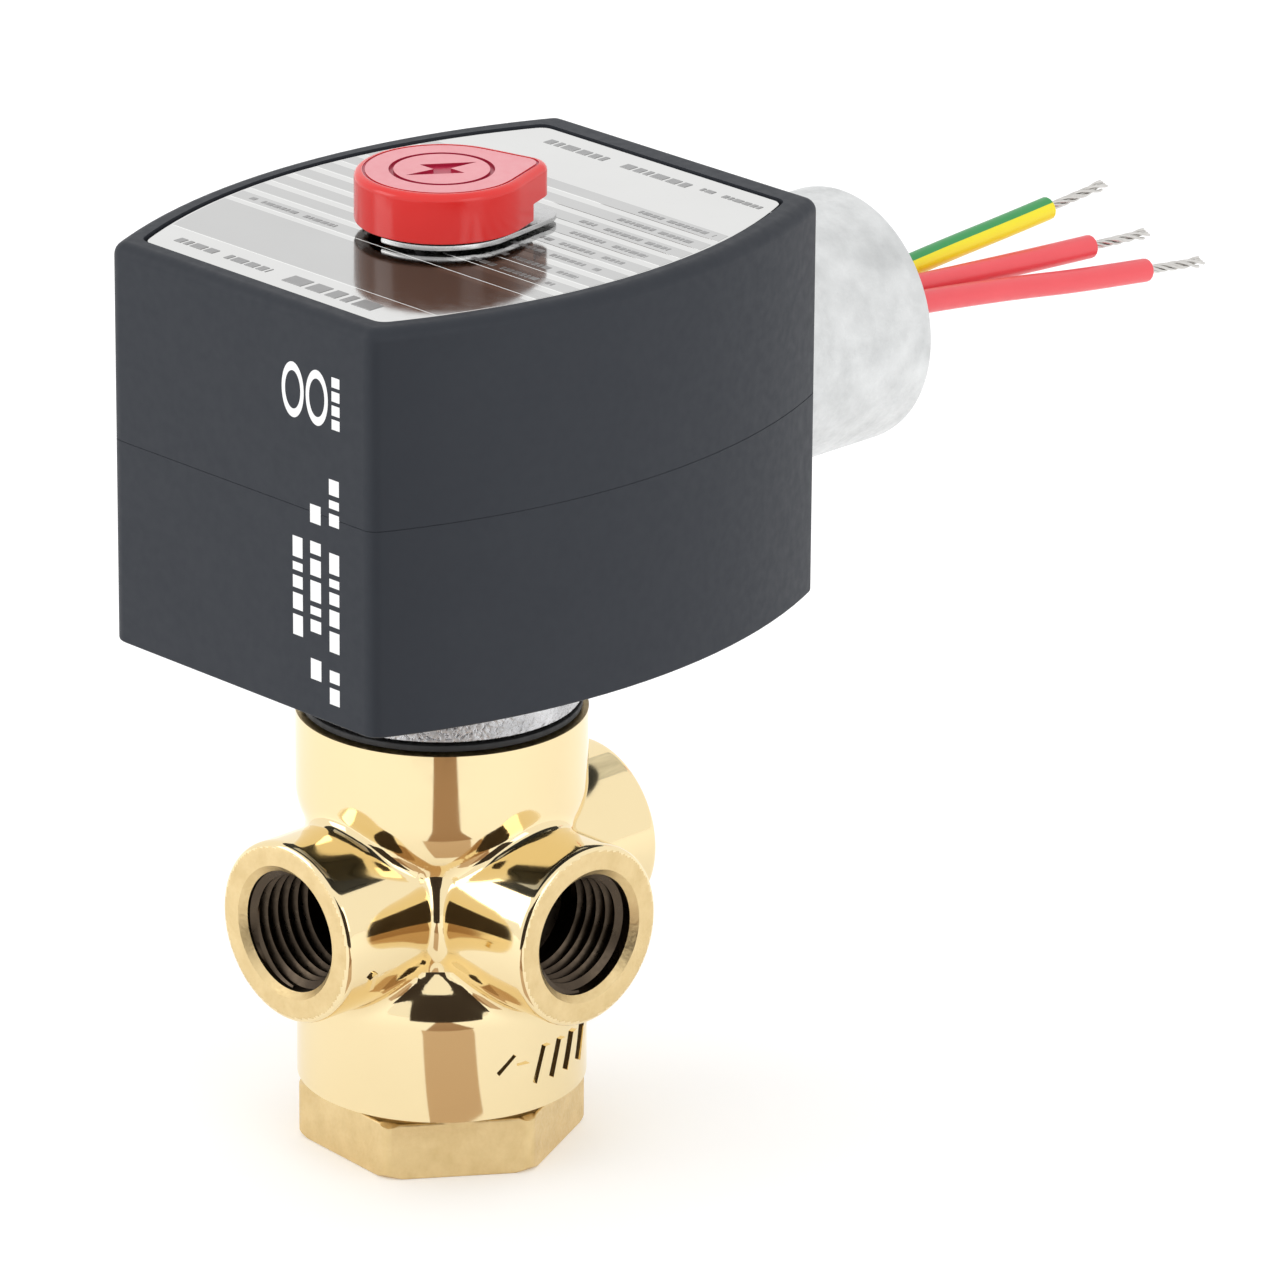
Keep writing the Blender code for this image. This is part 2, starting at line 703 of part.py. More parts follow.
def core_group():
    """The moving core with its rubber face, its return spring and the ring that guides it."""
    lip = CORE_BOTTOM + 2 * GAP
    chamfer = 2 * GAP
    disc_radius = SEAT_BORE + SEAT_LAND + 2 * GAP
    disc_top = CORE_BOTTOM + 2.4 * MM
    bore_floor = CORE_TOP - SPRING_BORE_DEPTH
    turned(
        "core",
        [
            (0, bore_floor),
            (SPRING_BORE, bore_floor),
            (SPRING_BORE, CORE_TOP),
            (CORE_RADIUS - GAP, CORE_TOP),
            (CORE_RADIUS, CORE_TOP - GAP),
            (CORE_RADIUS, lip + chamfer),
            (CORE_RADIUS - chamfer, lip),
            (disc_radius + FIT, lip),
            (disc_radius + FIT, disc_top + FIT),
            (0, disc_top + FIT),
        ],
        STEEL,
        steps=SMALL_ROUND,
    )
    profile = [(0, disc_top), (disc_radius, disc_top), (disc_radius, CORE_BOTTOM), (0, CORE_BOTTOM)]
    turned("core_disc", profile, RUBBER, steps=SMALL_ROUND)
    wire = 0.3 * MM
    points = helix(SPRING_BORE - wire - GAP, bore_floor + wire + FIT, PLUG_BOTTOM + SEAT_NOSE - wire - FIT, 6)
    tube("core_spring", points, wire, STEEL)
    low = lip + 2.7 * GAP
    outer = UPPER_CHAMBER - 2 * FIT
    guide = sleeve("core_guide", CORE_RADIUS + GAP, outer, low, SPIGOT_BOTTOM - GAP, NYLON)
    for i in range(4):
        angle = math.pi / 4 + math.pi / 2 * i
        x, y = outer * math.cos(angle), outer * math.sin(angle)
        cut(guide, rod(f"guide_notch_{i}", (x, y, low - GAP), (x, y, SPIGOT_BOTTOM), NOTCH_RADIUS, 12))


def spring_washer():
    """A three-wave spring washer between the bonnet and the coil."""
    inner, outer = COIL_BORE + 0.7 * MM, BODY_RADIUS - FLANGE_INSET - 2.3 * MM
    thickness = 0.5 * MM
    middle = FLANGE_TOP + WASHER_SPACE / 2
    wave = (WASHER_SPACE - thickness) / 2 - GAP - FIT
    washer = sleeve("spring_washer", inner, outer, middle - thickness / 2, middle + thickness / 2, STEEL, 36)
    for vertex in settled(washer).data.vertices:
        vertex.co.z += wave * math.cos(3 * math.atan2(vertex.co.y, vertex.co.x))


# ---------------------------------------------------------------- coil housing


def housing_outline(inset):
    corner = max(HOUSING_CORNER, inset / 3)
    return bulged_outline(
        HOUSING_WIDTH / 2 - inset, FRONT_REACH - inset, BACK_REACH - inset, BULGE, corner
    )


def housing():
    """The moulded cover: a thick shell that is open below."""
    shell = flat("housing", housing_outline(0), HOUSING_BOTTOM, HOUSING_TOP, MOULDING)
    bevel_rim(shell, HOUSING_TOP, HOUSING_BEVEL, 2)
    under, over = HOUSING_BOTTOM - GAP, HOUSING_TOP + GAP
    cavity = flat("housing_cavity", housing_outline(HOUSING_WALL), under, CAVITY_TOP, helper=True)
    recess = flat("label_recess", nameplate_outline(GAP), HOUSING_TOP - RECESS, over, helper=True)
    bore = COIL_BORE + GAP
    top = rod("housing_bore", (0, 0, CAVITY_TOP - GAP), (0, 0, HOUSING_TOP + GAP), bore, ROUND)
    neck = HUB_RADIUS - HUB_NECK + FIT
    back = rod("hub_hole", (0, BACK_INNER - GAP, HUB_Z), (0, BACK_REACH + GAP, HUB_Z), neck, ROUND)
    return cut(shell, cavity, recess, top, back)


def housing_base():
    """The moulding that closes the housing's underside round the steel plate."""
    base = flat("housing_base", housing_outline(HOUSING_WALL + GAP), PLATE_BOTTOM, PLATE_TOP - GAP, MOULDING)
    half = STRAP_WIDTH / 2 + PLATE_MARGIN + GAP
    reach = YOKE_REACH + GAP
    window = block("plate_window", (-half, -reach, PLATE_BOTTOM - GAP), (half, reach, PLATE_TOP), helper=True)
    return cut(base, window)


# ---------------------------------------------------------------- magnet


def yoke():
    """A strap bent over the coil, and the flat plate that closes it below."""
    half = STRAP_WIDTH / 2
    bend = STRAP_BEND
    inner = YOKE_REACH - STRAP
    low = PLATE_TOP + GAP
    right = [(inner, low), (YOKE_REACH, low)]
    right += arc((YOKE_REACH - bend, WEB_TOP - bend), bend, 0, math.pi / 2, 5)
    left = [(-x, z) for x, z in reversed(right)]
    outline = right + left + [(-inner, WEB_BOTTOM), (inner, WEB_BOTTOM)]
    strap = flat("yoke_strap", outline, -half, half, STEEL)
    strap.rotation_euler = (math.pi / 2, 0, math.pi / 2)
    strap.location = (0, 0, 0)
    hole = BOBBIN_BORE
    cut(strap, rod("strap_hole", (0, 0, WEB_BOTTOM - GAP), (0, 0, WEB_TOP + GAP), hole, ROUND))
    screw_z = ground_height()
    screw_start, screw_end = (0, inner - GAP, screw_z), (0, YOKE_REACH + GAP, screw_z)
    cut(strap, rod("screw_hole", screw_start, screw_end, SCREW_RADIUS + FIT))

    half += PLATE_MARGIN
    plate = block("yoke_plate", (-half, -YOKE_REACH, PLATE_BOTTOM), (half, YOKE_REACH, PLATE_TOP), ZINC)
    cut(plate, rod("plate_hole", (0, 0, PLATE_BOTTOM - GAP), (0, 0, PLATE_TOP + GAP), COIL_BORE, ROUND))


def coil():
    """Flux sleeves, bobbin, copper winding and the tape round it."""
    low, high = PLATE_TOP + GAP, WEB_BOTTOM - FIT
    outer = COIL_BORE + SLEEVE_WALL
    sleeve("lower_sleeve", COIL_BORE, outer, low, low + SLEEVE_LENGTH, STEEL)
    sleeve("upper_sleeve", COIL_BORE, outer, WEB_TOP - SLEEVE_LENGTH, WEB_TOP, STEEL)
    barrel = BOBBIN_BORE + BOBBIN_WALL
    turned(
        "bobbin",
        [
            (COIL_RADIUS, high),
            (COIL_RADIUS, high - BOBBIN_FLANGE),
            (barrel, high - BOBBIN_FLANGE),
            (barrel, low + BOBBIN_FLANGE),
            (COIL_RADIUS, low + BOBBIN_FLANGE),
            (COIL_RADIUS, low),
            (BOBBIN_BORE, low),
            (BOBBIN_BORE, high),
        ],
        NYLON,
        ring=True,
        steps=SMALL_ROUND,
    )
    wound = COIL_RADIUS - WINDING_INSET
    inside_low, inside_high = low + BOBBIN_FLANGE + FIT, high - BOBBIN_FLANGE - FIT
    sleeve("winding", barrel + FIT, wound, inside_low, inside_high, COPPER)
    sleeve("winding_tape", wound + FIT, wound + FIT + TAPE, inside_low, inside_high, TAPE_YELLOW)


SCREW_RADIUS = 1.5 * MM
SCREW_HEAD = 2.6 * MM
TERMINAL = 0.8 * MM
TERMINAL_DROP = 7.0 * MM


def ground_height():
    """The ground screw sits above the conduit hub's own flange, high on the strap's back leg."""
    return WEB_BOTTOM - 5.5 * MM


def ground_terminal():
    """A brass tab and its screw on the back of the strap, where the earth lead is fixed."""
    height = ground_height()
    tab_y = YOKE_REACH + FIT
    half = 3.0 * MM
    low, high = (-half, tab_y, height - TERMINAL_DROP), (half, tab_y + TERMINAL, height + half)
    tab = block("ground_terminal", low, high, BRASS)
    start, end = (0, tab_y - GAP, height), (0, tab_y + TERMINAL + GAP, height)
    cut(tab, rod("tab_hole", start, end, SCREW_RADIUS + FIT))
    head_y = tab_y + TERMINAL + FIT
    long = head_y - (YOKE_REACH - STRAP)
    crown = 1.8 * MM
    screw = turned(
        "ground_screw",
        [
            (0, crown),
            (SCREW_HEAD - 2 * GAP, crown),
            (SCREW_HEAD, crown - 2 * GAP),
            (SCREW_HEAD, 0),
            (SCREW_RADIUS, 0),
            (SCREW_RADIUS, -long),
            (0, -long),
        ],
        ZINC,
        steps=SMALL_ROUND,
    )
    return facing(screw, (0, 1, 0), (0, head_y, height))


# ---------------------------------------------------------------- conduit hub and leads


def conduit_hub():
    """A spool moulded into the housing's back wall, bored for a half-inch conduit thread."""
    bore = HUB_RADIUS - HUB_WALL
    small = SEAL_RADIUS + FIT
    neck = HUB_RADIUS - HUB_NECK
    inside = BACK_INNER - GAP
    inner_end = HUB_INNER_Y
    hub = turned(
        "conduit_hub",
        [
            (bore + 2 * GAP, HUB_MOUTH_Y),
            (HUB_RADIUS - 2 * GAP, HUB_MOUTH_Y),
            (HUB_RADIUS, HUB_MOUTH_Y - 2 * GAP),
            (HUB_RADIUS, HUB_OUTER_Y),
            (neck, HUB_OUTER_Y),
            (neck, inside),
            (HUB_RADIUS - GAP, inside),
            (HUB_RADIUS - GAP, inner_end),
            (small, inner_end),
            (small, HUB_STEP_Y),
            (bore, HUB_STEP_Y),
            (bore, HUB_MOUTH_Y - 2 * GAP),
        ],
        ZINC,
        ring=True,
    )
    facing(hub, (0, 1, 0), (0, 0, HUB_Z))
    low = inner_end + GAP
    profile = [(0, SEAL_FACE_Y), (SEAL_RADIUS, SEAL_FACE_Y), (SEAL_RADIUS, low), (0, low)]
    facing(turned("lead_seal", profile, RUBBER), (0, 1, 0), (0, 0, HUB_Z))


# Each route's points are (across, out, up) from the middle of the lead seal's face.
LEAD_ROUTES = {
    "lead_ground": (
        (-3.2, 0.3, -0.2),
        (-3.1, 9.0, -0.1),
        (-2.8, 20.0, 0.7),
        (-2.5, 33.0, 2.0),
        (-2.4, 43.0, 2.8),
        (-2.5, 49.8, 3.3),
    ),
    "lead_coil_1": (
        (0.5, 0.3, 1.5),
        (0.5, 10.0, 1.4),
        (0.5, 22.0, 0.7),
        (0.5, 34.0, -0.1),
        (0.5, 45.0, -0.8),
        (0.5, 53.6, -1.3),
    ),
    "lead_coil_2": (
        (4.0, 0.3, 1.1),
        (3.9, 10.0, 0.9),
        (3.7, 22.0, 0.1),
        (3.5, 36.0, -1.6),
        (3.5, 48.0, -3.3),
        (3.5, 59.6, -4.7),
    ),
}


def smooth_route(points, per_span=4):
    """Points read from a smooth curve through the route's own points."""
    ends = [points[0] * 2 - points[1], *points, points[-1] * 2 - points[-2]]
    found = []
    for a, b, c, d in zip(ends, ends[1:], ends[2:], ends[3:]):
        for i in range(per_span):
            t = i / per_span
            bend = (2 * a - 5 * b + 4 * c - d) * t**2 + (3 * b - a - 3 * c + d) * t**3
            found.append(b + ((c - a) * t + bend) / 2)
    return found + [points[-1]]


def tails():
    """The leads' inner ends, from the seal's back to the ground tab and to the side of the winding."""
    back = HUB_INNER_Y - GAP
    tab = YOKE_REACH + FIT + TERMINAL + LEAD_RADIUS + 2 * FIT
    beside = COIL_RADIUS - WINDING_INSET + TAPE + LEAD_RADIUS + 3 * FIT
    turn = math.radians(40)
    winding = Vector((beside * math.cos(turn), beside * math.sin(turn), HUB_Z))
    leg = Vector((STRAP_WIDTH / 2 + LEAD_RADIUS + 2 * MM, YOKE_REACH + MM, HUB_Z))
    for name, steps in LEAD_ROUTES.items():
        across, _, up = steps[0]
        start = Vector((across * MM, back, HUB_Z + up * MM))
        points = [start, start - Vector((0, 2.4 * MM, 0))]
        if name == "lead_ground":
            foot = ground_height() - TERMINAL_DROP + MM
            points += [Vector((0, tab, HUB_Z + 2.5 * MM)), Vector((0, tab, foot))]
        else:
            rise = Vector((0, 0, 7 * MM if name == "lead_coil_1" else -3 * MM))
            halfway = Vector((leg.x / 2, back - 3.5 * MM, HUB_Z))
            points += [halfway + rise, leg + rise, winding + rise]
        finish = GREEN_YELLOW if name == "lead_ground" else RED_WIRE
        tube(name.replace("lead", "tail"), smooth_route(points, 3), LEAD_RADIUS, finish)


def leads():
    origin = Vector((0, SEAL_FACE_Y, HUB_Z))
    for name, steps in LEAD_ROUTES.items():
        route = smooth_route([origin + Vector(step) * MM for step in steps])
        tube(name, route, LEAD_RADIUS, GREEN_YELLOW if name == "lead_ground" else RED_WIRE)
        along = (route[-1] - route[-2]).normalized()
        start = route[-1] + along * GAP
        tube(name.replace("lead", "strands"), [start, start + along * STRAND_LENGTH], STRAND_RADIUS, TINNED)


# ---------------------------------------------------------------- nameplate, clip and cap


def nameplate_outline(margin):
    return bulged_outline(
        HOUSING_WIDTH / 2 - NAMEPLATE_SIDE + margin,
        FRONT_REACH - NAMEPLATE_FRONT + margin,
        BACK_REACH - NAMEPLATE_BACK + margin,
        NAMEPLATE_BULGE,
        HOUSING_CORNER,
    )


def nameplate():
    plate = flat("nameplate", nameplate_outline(0), NAMEPLATE_BOTTOM, NAMEPLATE_BOTTOM + NAMEPLATE, LABEL)
    hole = STUD_RADIUS + 2 * GAP
    low, high = NAMEPLATE_BOTTOM - GAP, NAMEPLATE_BOTTOM + NAMEPLATE + GAP
    return cut(plate, rod("nameplate_hole", (0, 0, low), (0, 0, high), hole, ROUND))


def retaining_clip():
    """A spring-steel horseshoe in the stud's groove, with a tongue under the cap's corner to pull it by."""
    high = CLIP_BOTTOM + CLIP
    outline = teardrop(CLIP_RADIUS, CAP_CORNER, CLIP_REACH, CAP_TURN)
    clip = flat("retaining_clip", outline, CLIP_BOTTOM, high, STEEL)
    half = STUD_RADIUS - GROOVE_DEPTH + GAP
    low, high = CLIP_BOTTOM - GAP, high + GAP
    cut(clip, rod("clip_bore", (0, 0, low), (0, 0, high), half))
    mouth = block("clip_mouth", (-2 * CLIP_RADIUS, -half, low), (0, half, high), helper=True)
    mouth.rotation_euler.z = CAP_TURN
    return cut(clip, mouth)


def retaining_cap():
    """The red cap: a hollow moulding whose corner is cut away below, so that it can be prised up."""
    outline = teardrop(CAP_RADIUS, CAP_CORNER, CAP_REACH, CAP_TURN)
    cap = flat("retaining_cap", outline, CAP_BOTTOM, CAP_TOP, RED)
    bevel_rim(cap, CAP_TOP, CAP_BEVEL, 2)
    inside = CAP_TOP - CAP_ROOF
    past = CAP_BOTTOM - GAP
    wall = CAP_RADIUS - CAP_WALL
    grip_inner = STUD_RADIUS + FIT
    grip_outer = grip_inner + CAP_WALL
    groove = [(wall, inside), (wall, past), (grip_outer, past), (grip_outer, inside)]
    hollow = turned("cap_hollow", groove, None, ring=True, helper=True)
    socket = turned_cutter("cap_socket", [(0, inside), (grip_inner, inside), (grip_inner, past), (0, past)])
    low, high = (CAP_RADIUS - GAP, -CAP_RADIUS, past), (2 * CAP_REACH, CAP_RADIUS, CAP_BOTTOM + CAP_NOTCH)
    notch = block("cap_notch", low, high, helper=True)
    notch.rotation_euler.z = CAP_TURN
    return cut(cap, hollow, socket, notch)


def main():
    end_cap()
    end_cap_gasket()
    valve_body()
    lower_disc_group()
    body_gasket()
    bonnet()
    core_tube()
    fixed_core()
    core_group()
    spring_washer()
    housing()
    housing_base()
    yoke()
    coil()
    ground_terminal()
    conduit_hub()
    tails()
    leads()
    nameplate()
    retaining_clip()
    retaining_cap()


main()
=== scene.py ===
"""A three-way solenoid valve with a moulded coil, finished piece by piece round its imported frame."""
import math

import bmesh
import bpy
import numpy as np
from mathutils import Matrix, Vector


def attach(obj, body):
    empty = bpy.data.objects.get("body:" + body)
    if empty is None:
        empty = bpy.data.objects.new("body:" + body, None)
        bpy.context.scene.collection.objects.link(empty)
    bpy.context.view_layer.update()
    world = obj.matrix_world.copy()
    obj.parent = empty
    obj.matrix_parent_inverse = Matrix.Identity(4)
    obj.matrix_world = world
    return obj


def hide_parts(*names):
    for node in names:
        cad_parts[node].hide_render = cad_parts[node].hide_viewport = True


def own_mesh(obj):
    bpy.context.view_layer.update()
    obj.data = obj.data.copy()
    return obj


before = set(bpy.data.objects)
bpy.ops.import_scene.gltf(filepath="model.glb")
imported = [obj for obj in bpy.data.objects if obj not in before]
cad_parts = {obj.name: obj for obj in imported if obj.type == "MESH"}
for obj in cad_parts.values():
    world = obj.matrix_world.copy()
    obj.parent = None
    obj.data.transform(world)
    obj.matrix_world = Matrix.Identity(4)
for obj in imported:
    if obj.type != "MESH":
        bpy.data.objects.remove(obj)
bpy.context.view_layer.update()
MM = 0.001

# ---------------------------------------------------------------- camera, light and floor
# A long lens from high on the front right, a soft box on each side, a white sky and a pale floor that
# runs out of sight. Three cards that only mirrors show make the brown and dark bands in the brass.

view = bpy.data.cameras.new("camera")
view.lens = 261.84
view.sensor_width = 36
view.clip_start = 0.05
view.clip_end = 20
camera = bpy.data.objects.new("camera", view)
bpy.context.scene.collection.objects.link(camera)
camera_turn, camera_tilt, camera_roll = (math.radians(angle) for angle in (45.506, 20.799, 0.458))
level = math.cos(camera_tilt)
back = Vector((math.sin(camera_turn) * level, -math.cos(camera_turn) * level, math.sin(camera_tilt)))
right = Vector((math.cos(camera_turn), math.sin(camera_turn), 0))
up = back.cross(right)
across = right * math.cos(camera_roll) + up * math.sin(camera_roll)
upward = up * math.cos(camera_roll) - right * math.sin(camera_roll)
facing = Matrix((across, upward, back)).transposed()
aim = Vector((0, 29.187, 48.137)) * MM
camera.matrix_world = Matrix.Translation(aim + back) @ facing.to_4x4()
bpy.context.scene.camera = camera
bpy.context.scene.view_settings.view_transform = "Standard"

sky = bpy.data.worlds.new("studio")
sky.use_nodes = True
sky.node_tree.nodes["Background"].inputs["Color"].default_value = (1, 1, 1, 1)
sky.node_tree.nodes["Background"].inputs["Strength"].default_value = 1.08
bpy.context.scene.world = sky


def soft_box(name, place, target, width, height, power):
    lamp = bpy.data.lights.new(name, "AREA")
    lamp.shape = "RECTANGLE"
    lamp.size = width
    lamp.size_y = height
    lamp.energy = power
    box = bpy.data.objects.new(name, lamp)
    bpy.context.scene.collection.objects.link(box)
    box.location = place
    box.rotation_euler = (Vector(target) - Vector(place)).to_track_quat("-Z", "Y").to_euler()


middle = (0, 0.01, 0.05)
soft_box("box_left", (-0.55, -0.75, 0.45), middle, 0.5, 0.5, 1.6)
soft_box("box_right", (0.95, -0.05, 0.4), middle, 0.5, 0.5, 0.9)


def plain(name, colour, roughness, metallic=0.0):
    """A Principled material with its constant values on the shader's own sockets."""
    made = bpy.data.materials.new(name)
    made.use_nodes = True
    shader = made.node_tree.nodes["Principled BSDF"]
    shader.inputs["Base Color"].default_value = (*colour, 1)
    shader.inputs["Roughness"].default_value = roughness
    shader.inputs["Metallic"].default_value = metallic
    return made


def backdrop(name, size, colour):
    """A flat sheet that belongs to the stage and not to the valve."""
    bm = bmesh.new()
    bmesh.ops.create_grid(bm, x_segments=1, y_segments=1, size=0.5)
    bmesh.ops.scale(bm, vec=(*size, 1), verts=bm.verts)
    mesh = bpy.data.meshes.new(name)
    bm.to_mesh(mesh)
    bm.free()
    mesh.materials.append(plain(name, colour, 0.9))
    obj = bpy.data.objects.new(name, mesh)
    bpy.context.scene.collection.objects.link(obj)
    return obj


def card(name, size, out, aside, height, tilt, colour, narrow=1):
    """A card that only mirrors show. It stands out from the valve towards the camera."""
    obj = backdrop(name, size, colour)
    for vert in obj.data.vertices:
        vert.co.x *= narrow if vert.co.y > 0 else 1
    place = Matrix.Rotation(camera_turn, 4, "Z") @ Matrix.Translation((aside, -out, height))
    obj.data.transform(place @ Matrix.Rotation(math.radians(tilt), 4, "X"))
    for ray in ("camera", "diffuse", "shadow", "transmission"):
        setattr(obj, "visible_" + ray, False)


floor = backdrop("floor", (8, 8), (0.95, 0.95, 0.95))
glow = floor.data.materials[0].node_tree.nodes["Principled BSDF"]
glow.inputs["Emission Color"].default_value = (1, 1, 1, 1)
glow.inputs["Emission Strength"].default_value = 0.12
card("strip_near", (0.042, 0.036), 0.047, 0.006, 0.0005, 0, (0.62, 0.46, 0.34), 0.4)
card("strip_far", (0.040, 0.185), 0.1575, 0.009, 0.0005, 0, (0.36, 0.22, 0.13))
# This card stays below the nameplate, which would mirror it to anyone behind the valve.
card("dark_room", (0.12, 0.092), 0.12, 0.012, 0.054, 90, (0.03, 0.02, 0.015))


# ---------------------------------------------------------------- flying leads
# Three PVC-covered leads come out of the seal: one green and yellow for earth, two red for the coil.
# Each one's cover is stripped back at its end, where the tinned strands are twisted together.

LEAD_RADIUS = 1.32
HUB_Z = 78.4
SEAL_Y = 44.6
SEAL_FACE = Vector((0, SEAL_Y, HUB_Z))
LEAD_ROUTES = {
    "lead_ground": (
        (-3.2, 0.3, -0.2),
        (-3.1, 9.0, -0.1),
        (-2.8, 20.0, 0.7),
        (-2.5, 33.0, 2.0),
        (-2.4, 43.0, 2.8),
        (-2.5, 49.8, 3.3),
    ),
    "lead_coil_1": (
        (0.5, 0.3, 1.5),
        (0.5, 10.0, 1.4),
        (0.5, 22.0, 0.7),
        (0.5, 34.0, -0.1),
        (0.5, 45.0, -0.8),
        (0.5, 53.6, -1.3),
    ),
    "lead_coil_2": (
        (4.0, 0.3, 1.1),
        (3.9, 10.0, 0.9),
        (3.7, 22.0, 0.1),
        (3.5, 36.0, -1.6),
        (3.5, 48.0, -3.3),
        (3.5, 59.6, -4.7),
    ),
}
STRAND_LENGTH = 9.5
STRAND_INSIDE = 0.6
STRAND_RING, STRAND_RADIUS = 0.36, 0.17
STRAND_TWIST = 7.5


def smooth_route(points, per_span=6):
    """Points read from a smooth curve through the route's own points."""
    ends = [points[0] * 2 - points[1], *points, points[-1] * 2 - points[-2]]
    found = []
    for a, b, c, d in zip(ends, ends[1:], ends[2:], ends[3:]):
        for i in range(per_span):
            t = i / per_span
            bend = (2 * a - 5 * b + 4 * c - d) * t**2 + (3 * b - a - 3 * c + d) * t**3
            found.append(b + ((c - a) * t + bend) / 2)
    return found + [points[-1]]


def linked(name, bm):
    """An object made from a shape in millimetres."""
    bmesh.ops.scale(bm, vec=(MM, MM, MM), verts=bm.verts)
    mesh = bpy.data.meshes.new(name)
    bm.to_mesh(mesh)
    bm.free()
    obj = bpy.data.objects.new(name, mesh)
    bpy.context.scene.collection.objects.link(obj)
    return obj


def evaluated(obj):
    """The mesh that an object shows once its modifiers, or its curve's thickness, are worked out."""
    bpy.context.view_layer.update()
    return bpy.data.meshes.new_from_object(obj.evaluated_get(bpy.context.evaluated_depsgraph_get()))


def wire(name, routes, radius, resolution=4):
    """Round wires along their routes, as one mesh with closed ends."""
    curve = bpy.data.curves.new(name, "CURVE")
    curve.dimensions = "3D"
    curve.bevel_depth = radius
    curve.bevel_resolution = resolution
    curve.use_fill_caps = True
    for route in routes:
        spline = curve.splines.new("POLY")
        spline.points.add(len(route) - 1)
        for point, place in zip(spline.points, route):
            point.co = (*place, 1)
    drawn = bpy.data.objects.new(name, curve)
    bpy.context.scene.collection.objects.link(drawn)
    mesh = evaluated(drawn)
    bpy.data.objects.remove(drawn)
    bm = bmesh.new()
    bm.from_mesh(mesh)
    bmesh.ops.remove_doubles(bm, verts=bm.verts, dist=1e-4)
    bmesh.ops.recalc_face_normals(bm, faces=bm.faces)
    return linked(name, bm)


def textured(name, colour, other, metallic, rough, grain, bump, deep=0.00005):
    """A material whose colour and roughness drift between two values, with a fine raised grain."""
    made = plain(name, colour, rough[0], metallic)
    nodes, links = made.node_tree.nodes, made.node_tree.links
    shader = nodes["Principled BSDF"]
    where = nodes.new("ShaderNodeTexCoord")
    drift = nodes.new("ShaderNodeTexNoise")
    drift.inputs["Scale"].default_value = grain / 6
    drift.inputs["Detail"].default_value = 4
    links.new(where.outputs["Object"], drift.inputs["Vector"])
    fine = nodes.new("ShaderNodeTexNoise")
    fine.inputs["Scale"].default_value = grain
    fine.inputs["Detail"].default_value = 5
    links.new(where.outputs["Object"], fine.inputs["Vector"])
    mix = nodes.new("ShaderNodeMix")
    mix.data_type = "RGBA"
    mix.inputs["A"].default_value = (*colour, 1)
    mix.inputs["B"].default_value = (*other, 1)
    links.new(drift.outputs["Fac"], mix.inputs["Factor"])
    links.new(mix.outputs["Result"], shader.inputs["Base Color"])
    spread = nodes.new("ShaderNodeMapRange")
    spread.inputs["From Min"].default_value = 0.3
    spread.inputs["From Max"].default_value = 0.7
    spread.inputs["To Min"].default_value = rough[0]
    spread.inputs["To Max"].default_value = rough[1]
    links.new(fine.outputs["Fac"], spread.inputs["Value"])
    links.new(spread.outputs["Result"], shader.inputs["Roughness"])
    raised = nodes.new("ShaderNodeBump")
    raised.inputs["Strength"].default_value = bump
    raised.inputs["Distance"].default_value = deep
    links.new(fine.outputs["Fac"], raised.inputs["Height"])
    links.new(raised.outputs["Normal"], shader.inputs["Normal"])
    return made


def done(obj, body, finish, *nodes, sharp=32, slot=None):
    """A finished piece: shaded smooth between its sharp edges, and riding on the body it belongs to."""
    mesh = obj.data
    mesh.materials.clear()
    mesh.materials.append(finish)
    mesh.shade_smooth()
    mesh.set_sharp_from_angle(angle=math.radians(sharp))
    weigh = obj.modifiers.new("weigh", "WEIGHTED_NORMAL")
    weigh.keep_sharp = True
    weigh.weight = 80
    obj.data = evaluated(obj)
    obj.modifiers.clear()
    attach(obj, body)
    if nodes:
        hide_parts(*nodes)
    return obj


pvc_red = textured("pvc_red", (0.80, 0.085, 0.10), (0.74, 0.07, 0.085), 0, (0.32, 0.42), 1400, 0.15)
pvc_yellow = textured("pvc_yellow", (0.86, 0.74, 0.015), (0.80, 0.68, 0.01), 0, (0.32, 0.42), 1400, 0.15)
pvc_green = textured("pvc_green", (0.03, 0.30, 0.08), (0.02, 0.25, 0.06), 0, (0.32, 0.42), 1400, 0.15)
tinned = textured("tinned_copper", (0.72, 0.71, 0.69), (0.5, 0.48, 0.45), 1, (0.25, 0.45), 3000, 0.2)

for name, steps in LEAD_ROUTES.items():
    route = smooth_route([SEAL_FACE + Vector(step) for step in steps])
    along = (route[-1] - route[-2]).normalized()
    side = along.orthogonal().normalized()
    other = along.cross(side)
    start = route[-1] - along * STRAND_INSIDE
    strands = []
    for i in range(7):
        path = []
        long = STRAND_LENGTH * (1 - 0.06 * (i % 3)) + STRAND_INSIDE
        for j in range(25):
            t = j / 24
            lean = 2 * math.pi * i / 6 + t * STRAND_TWIST
            out = 0.0 if i == 6 else STRAND_RING * (1 + 0.5 * t**4 * math.sin(i * 2.1))
            path.append(start + along * long * t + (side * math.cos(lean) + other * math.sin(lean)) * out)
        strands.append(path)
    tail_name = name.replace("lead", "strands")
    twisted = wire("twisted_" + tail_name, strands, STRAND_RADIUS, 2)
    done(twisted, "solenoid", tinned, tail_name, slot="tinned")
    cover = wire("cover_" + name, [route], LEAD_RADIUS, 6)
    done(cover, "solenoid", pvc_yellow if name == "lead_ground" else pvc_red, name, sharp=50)
    if name == "lead_ground":
        cover.data.materials.append(pvc_green)
        for face in cover.data.polygons:
            face.material_index = int(face.normal.z - 0.45 * face.normal.x > 0.42)


# ---------------------------------------------------------------- valve body
# One brass casting, polished all over, with three bosses that blend into a waisted barrel. The boss
# faces are machined, and each is bored and tapped for quarter-inch pipe.

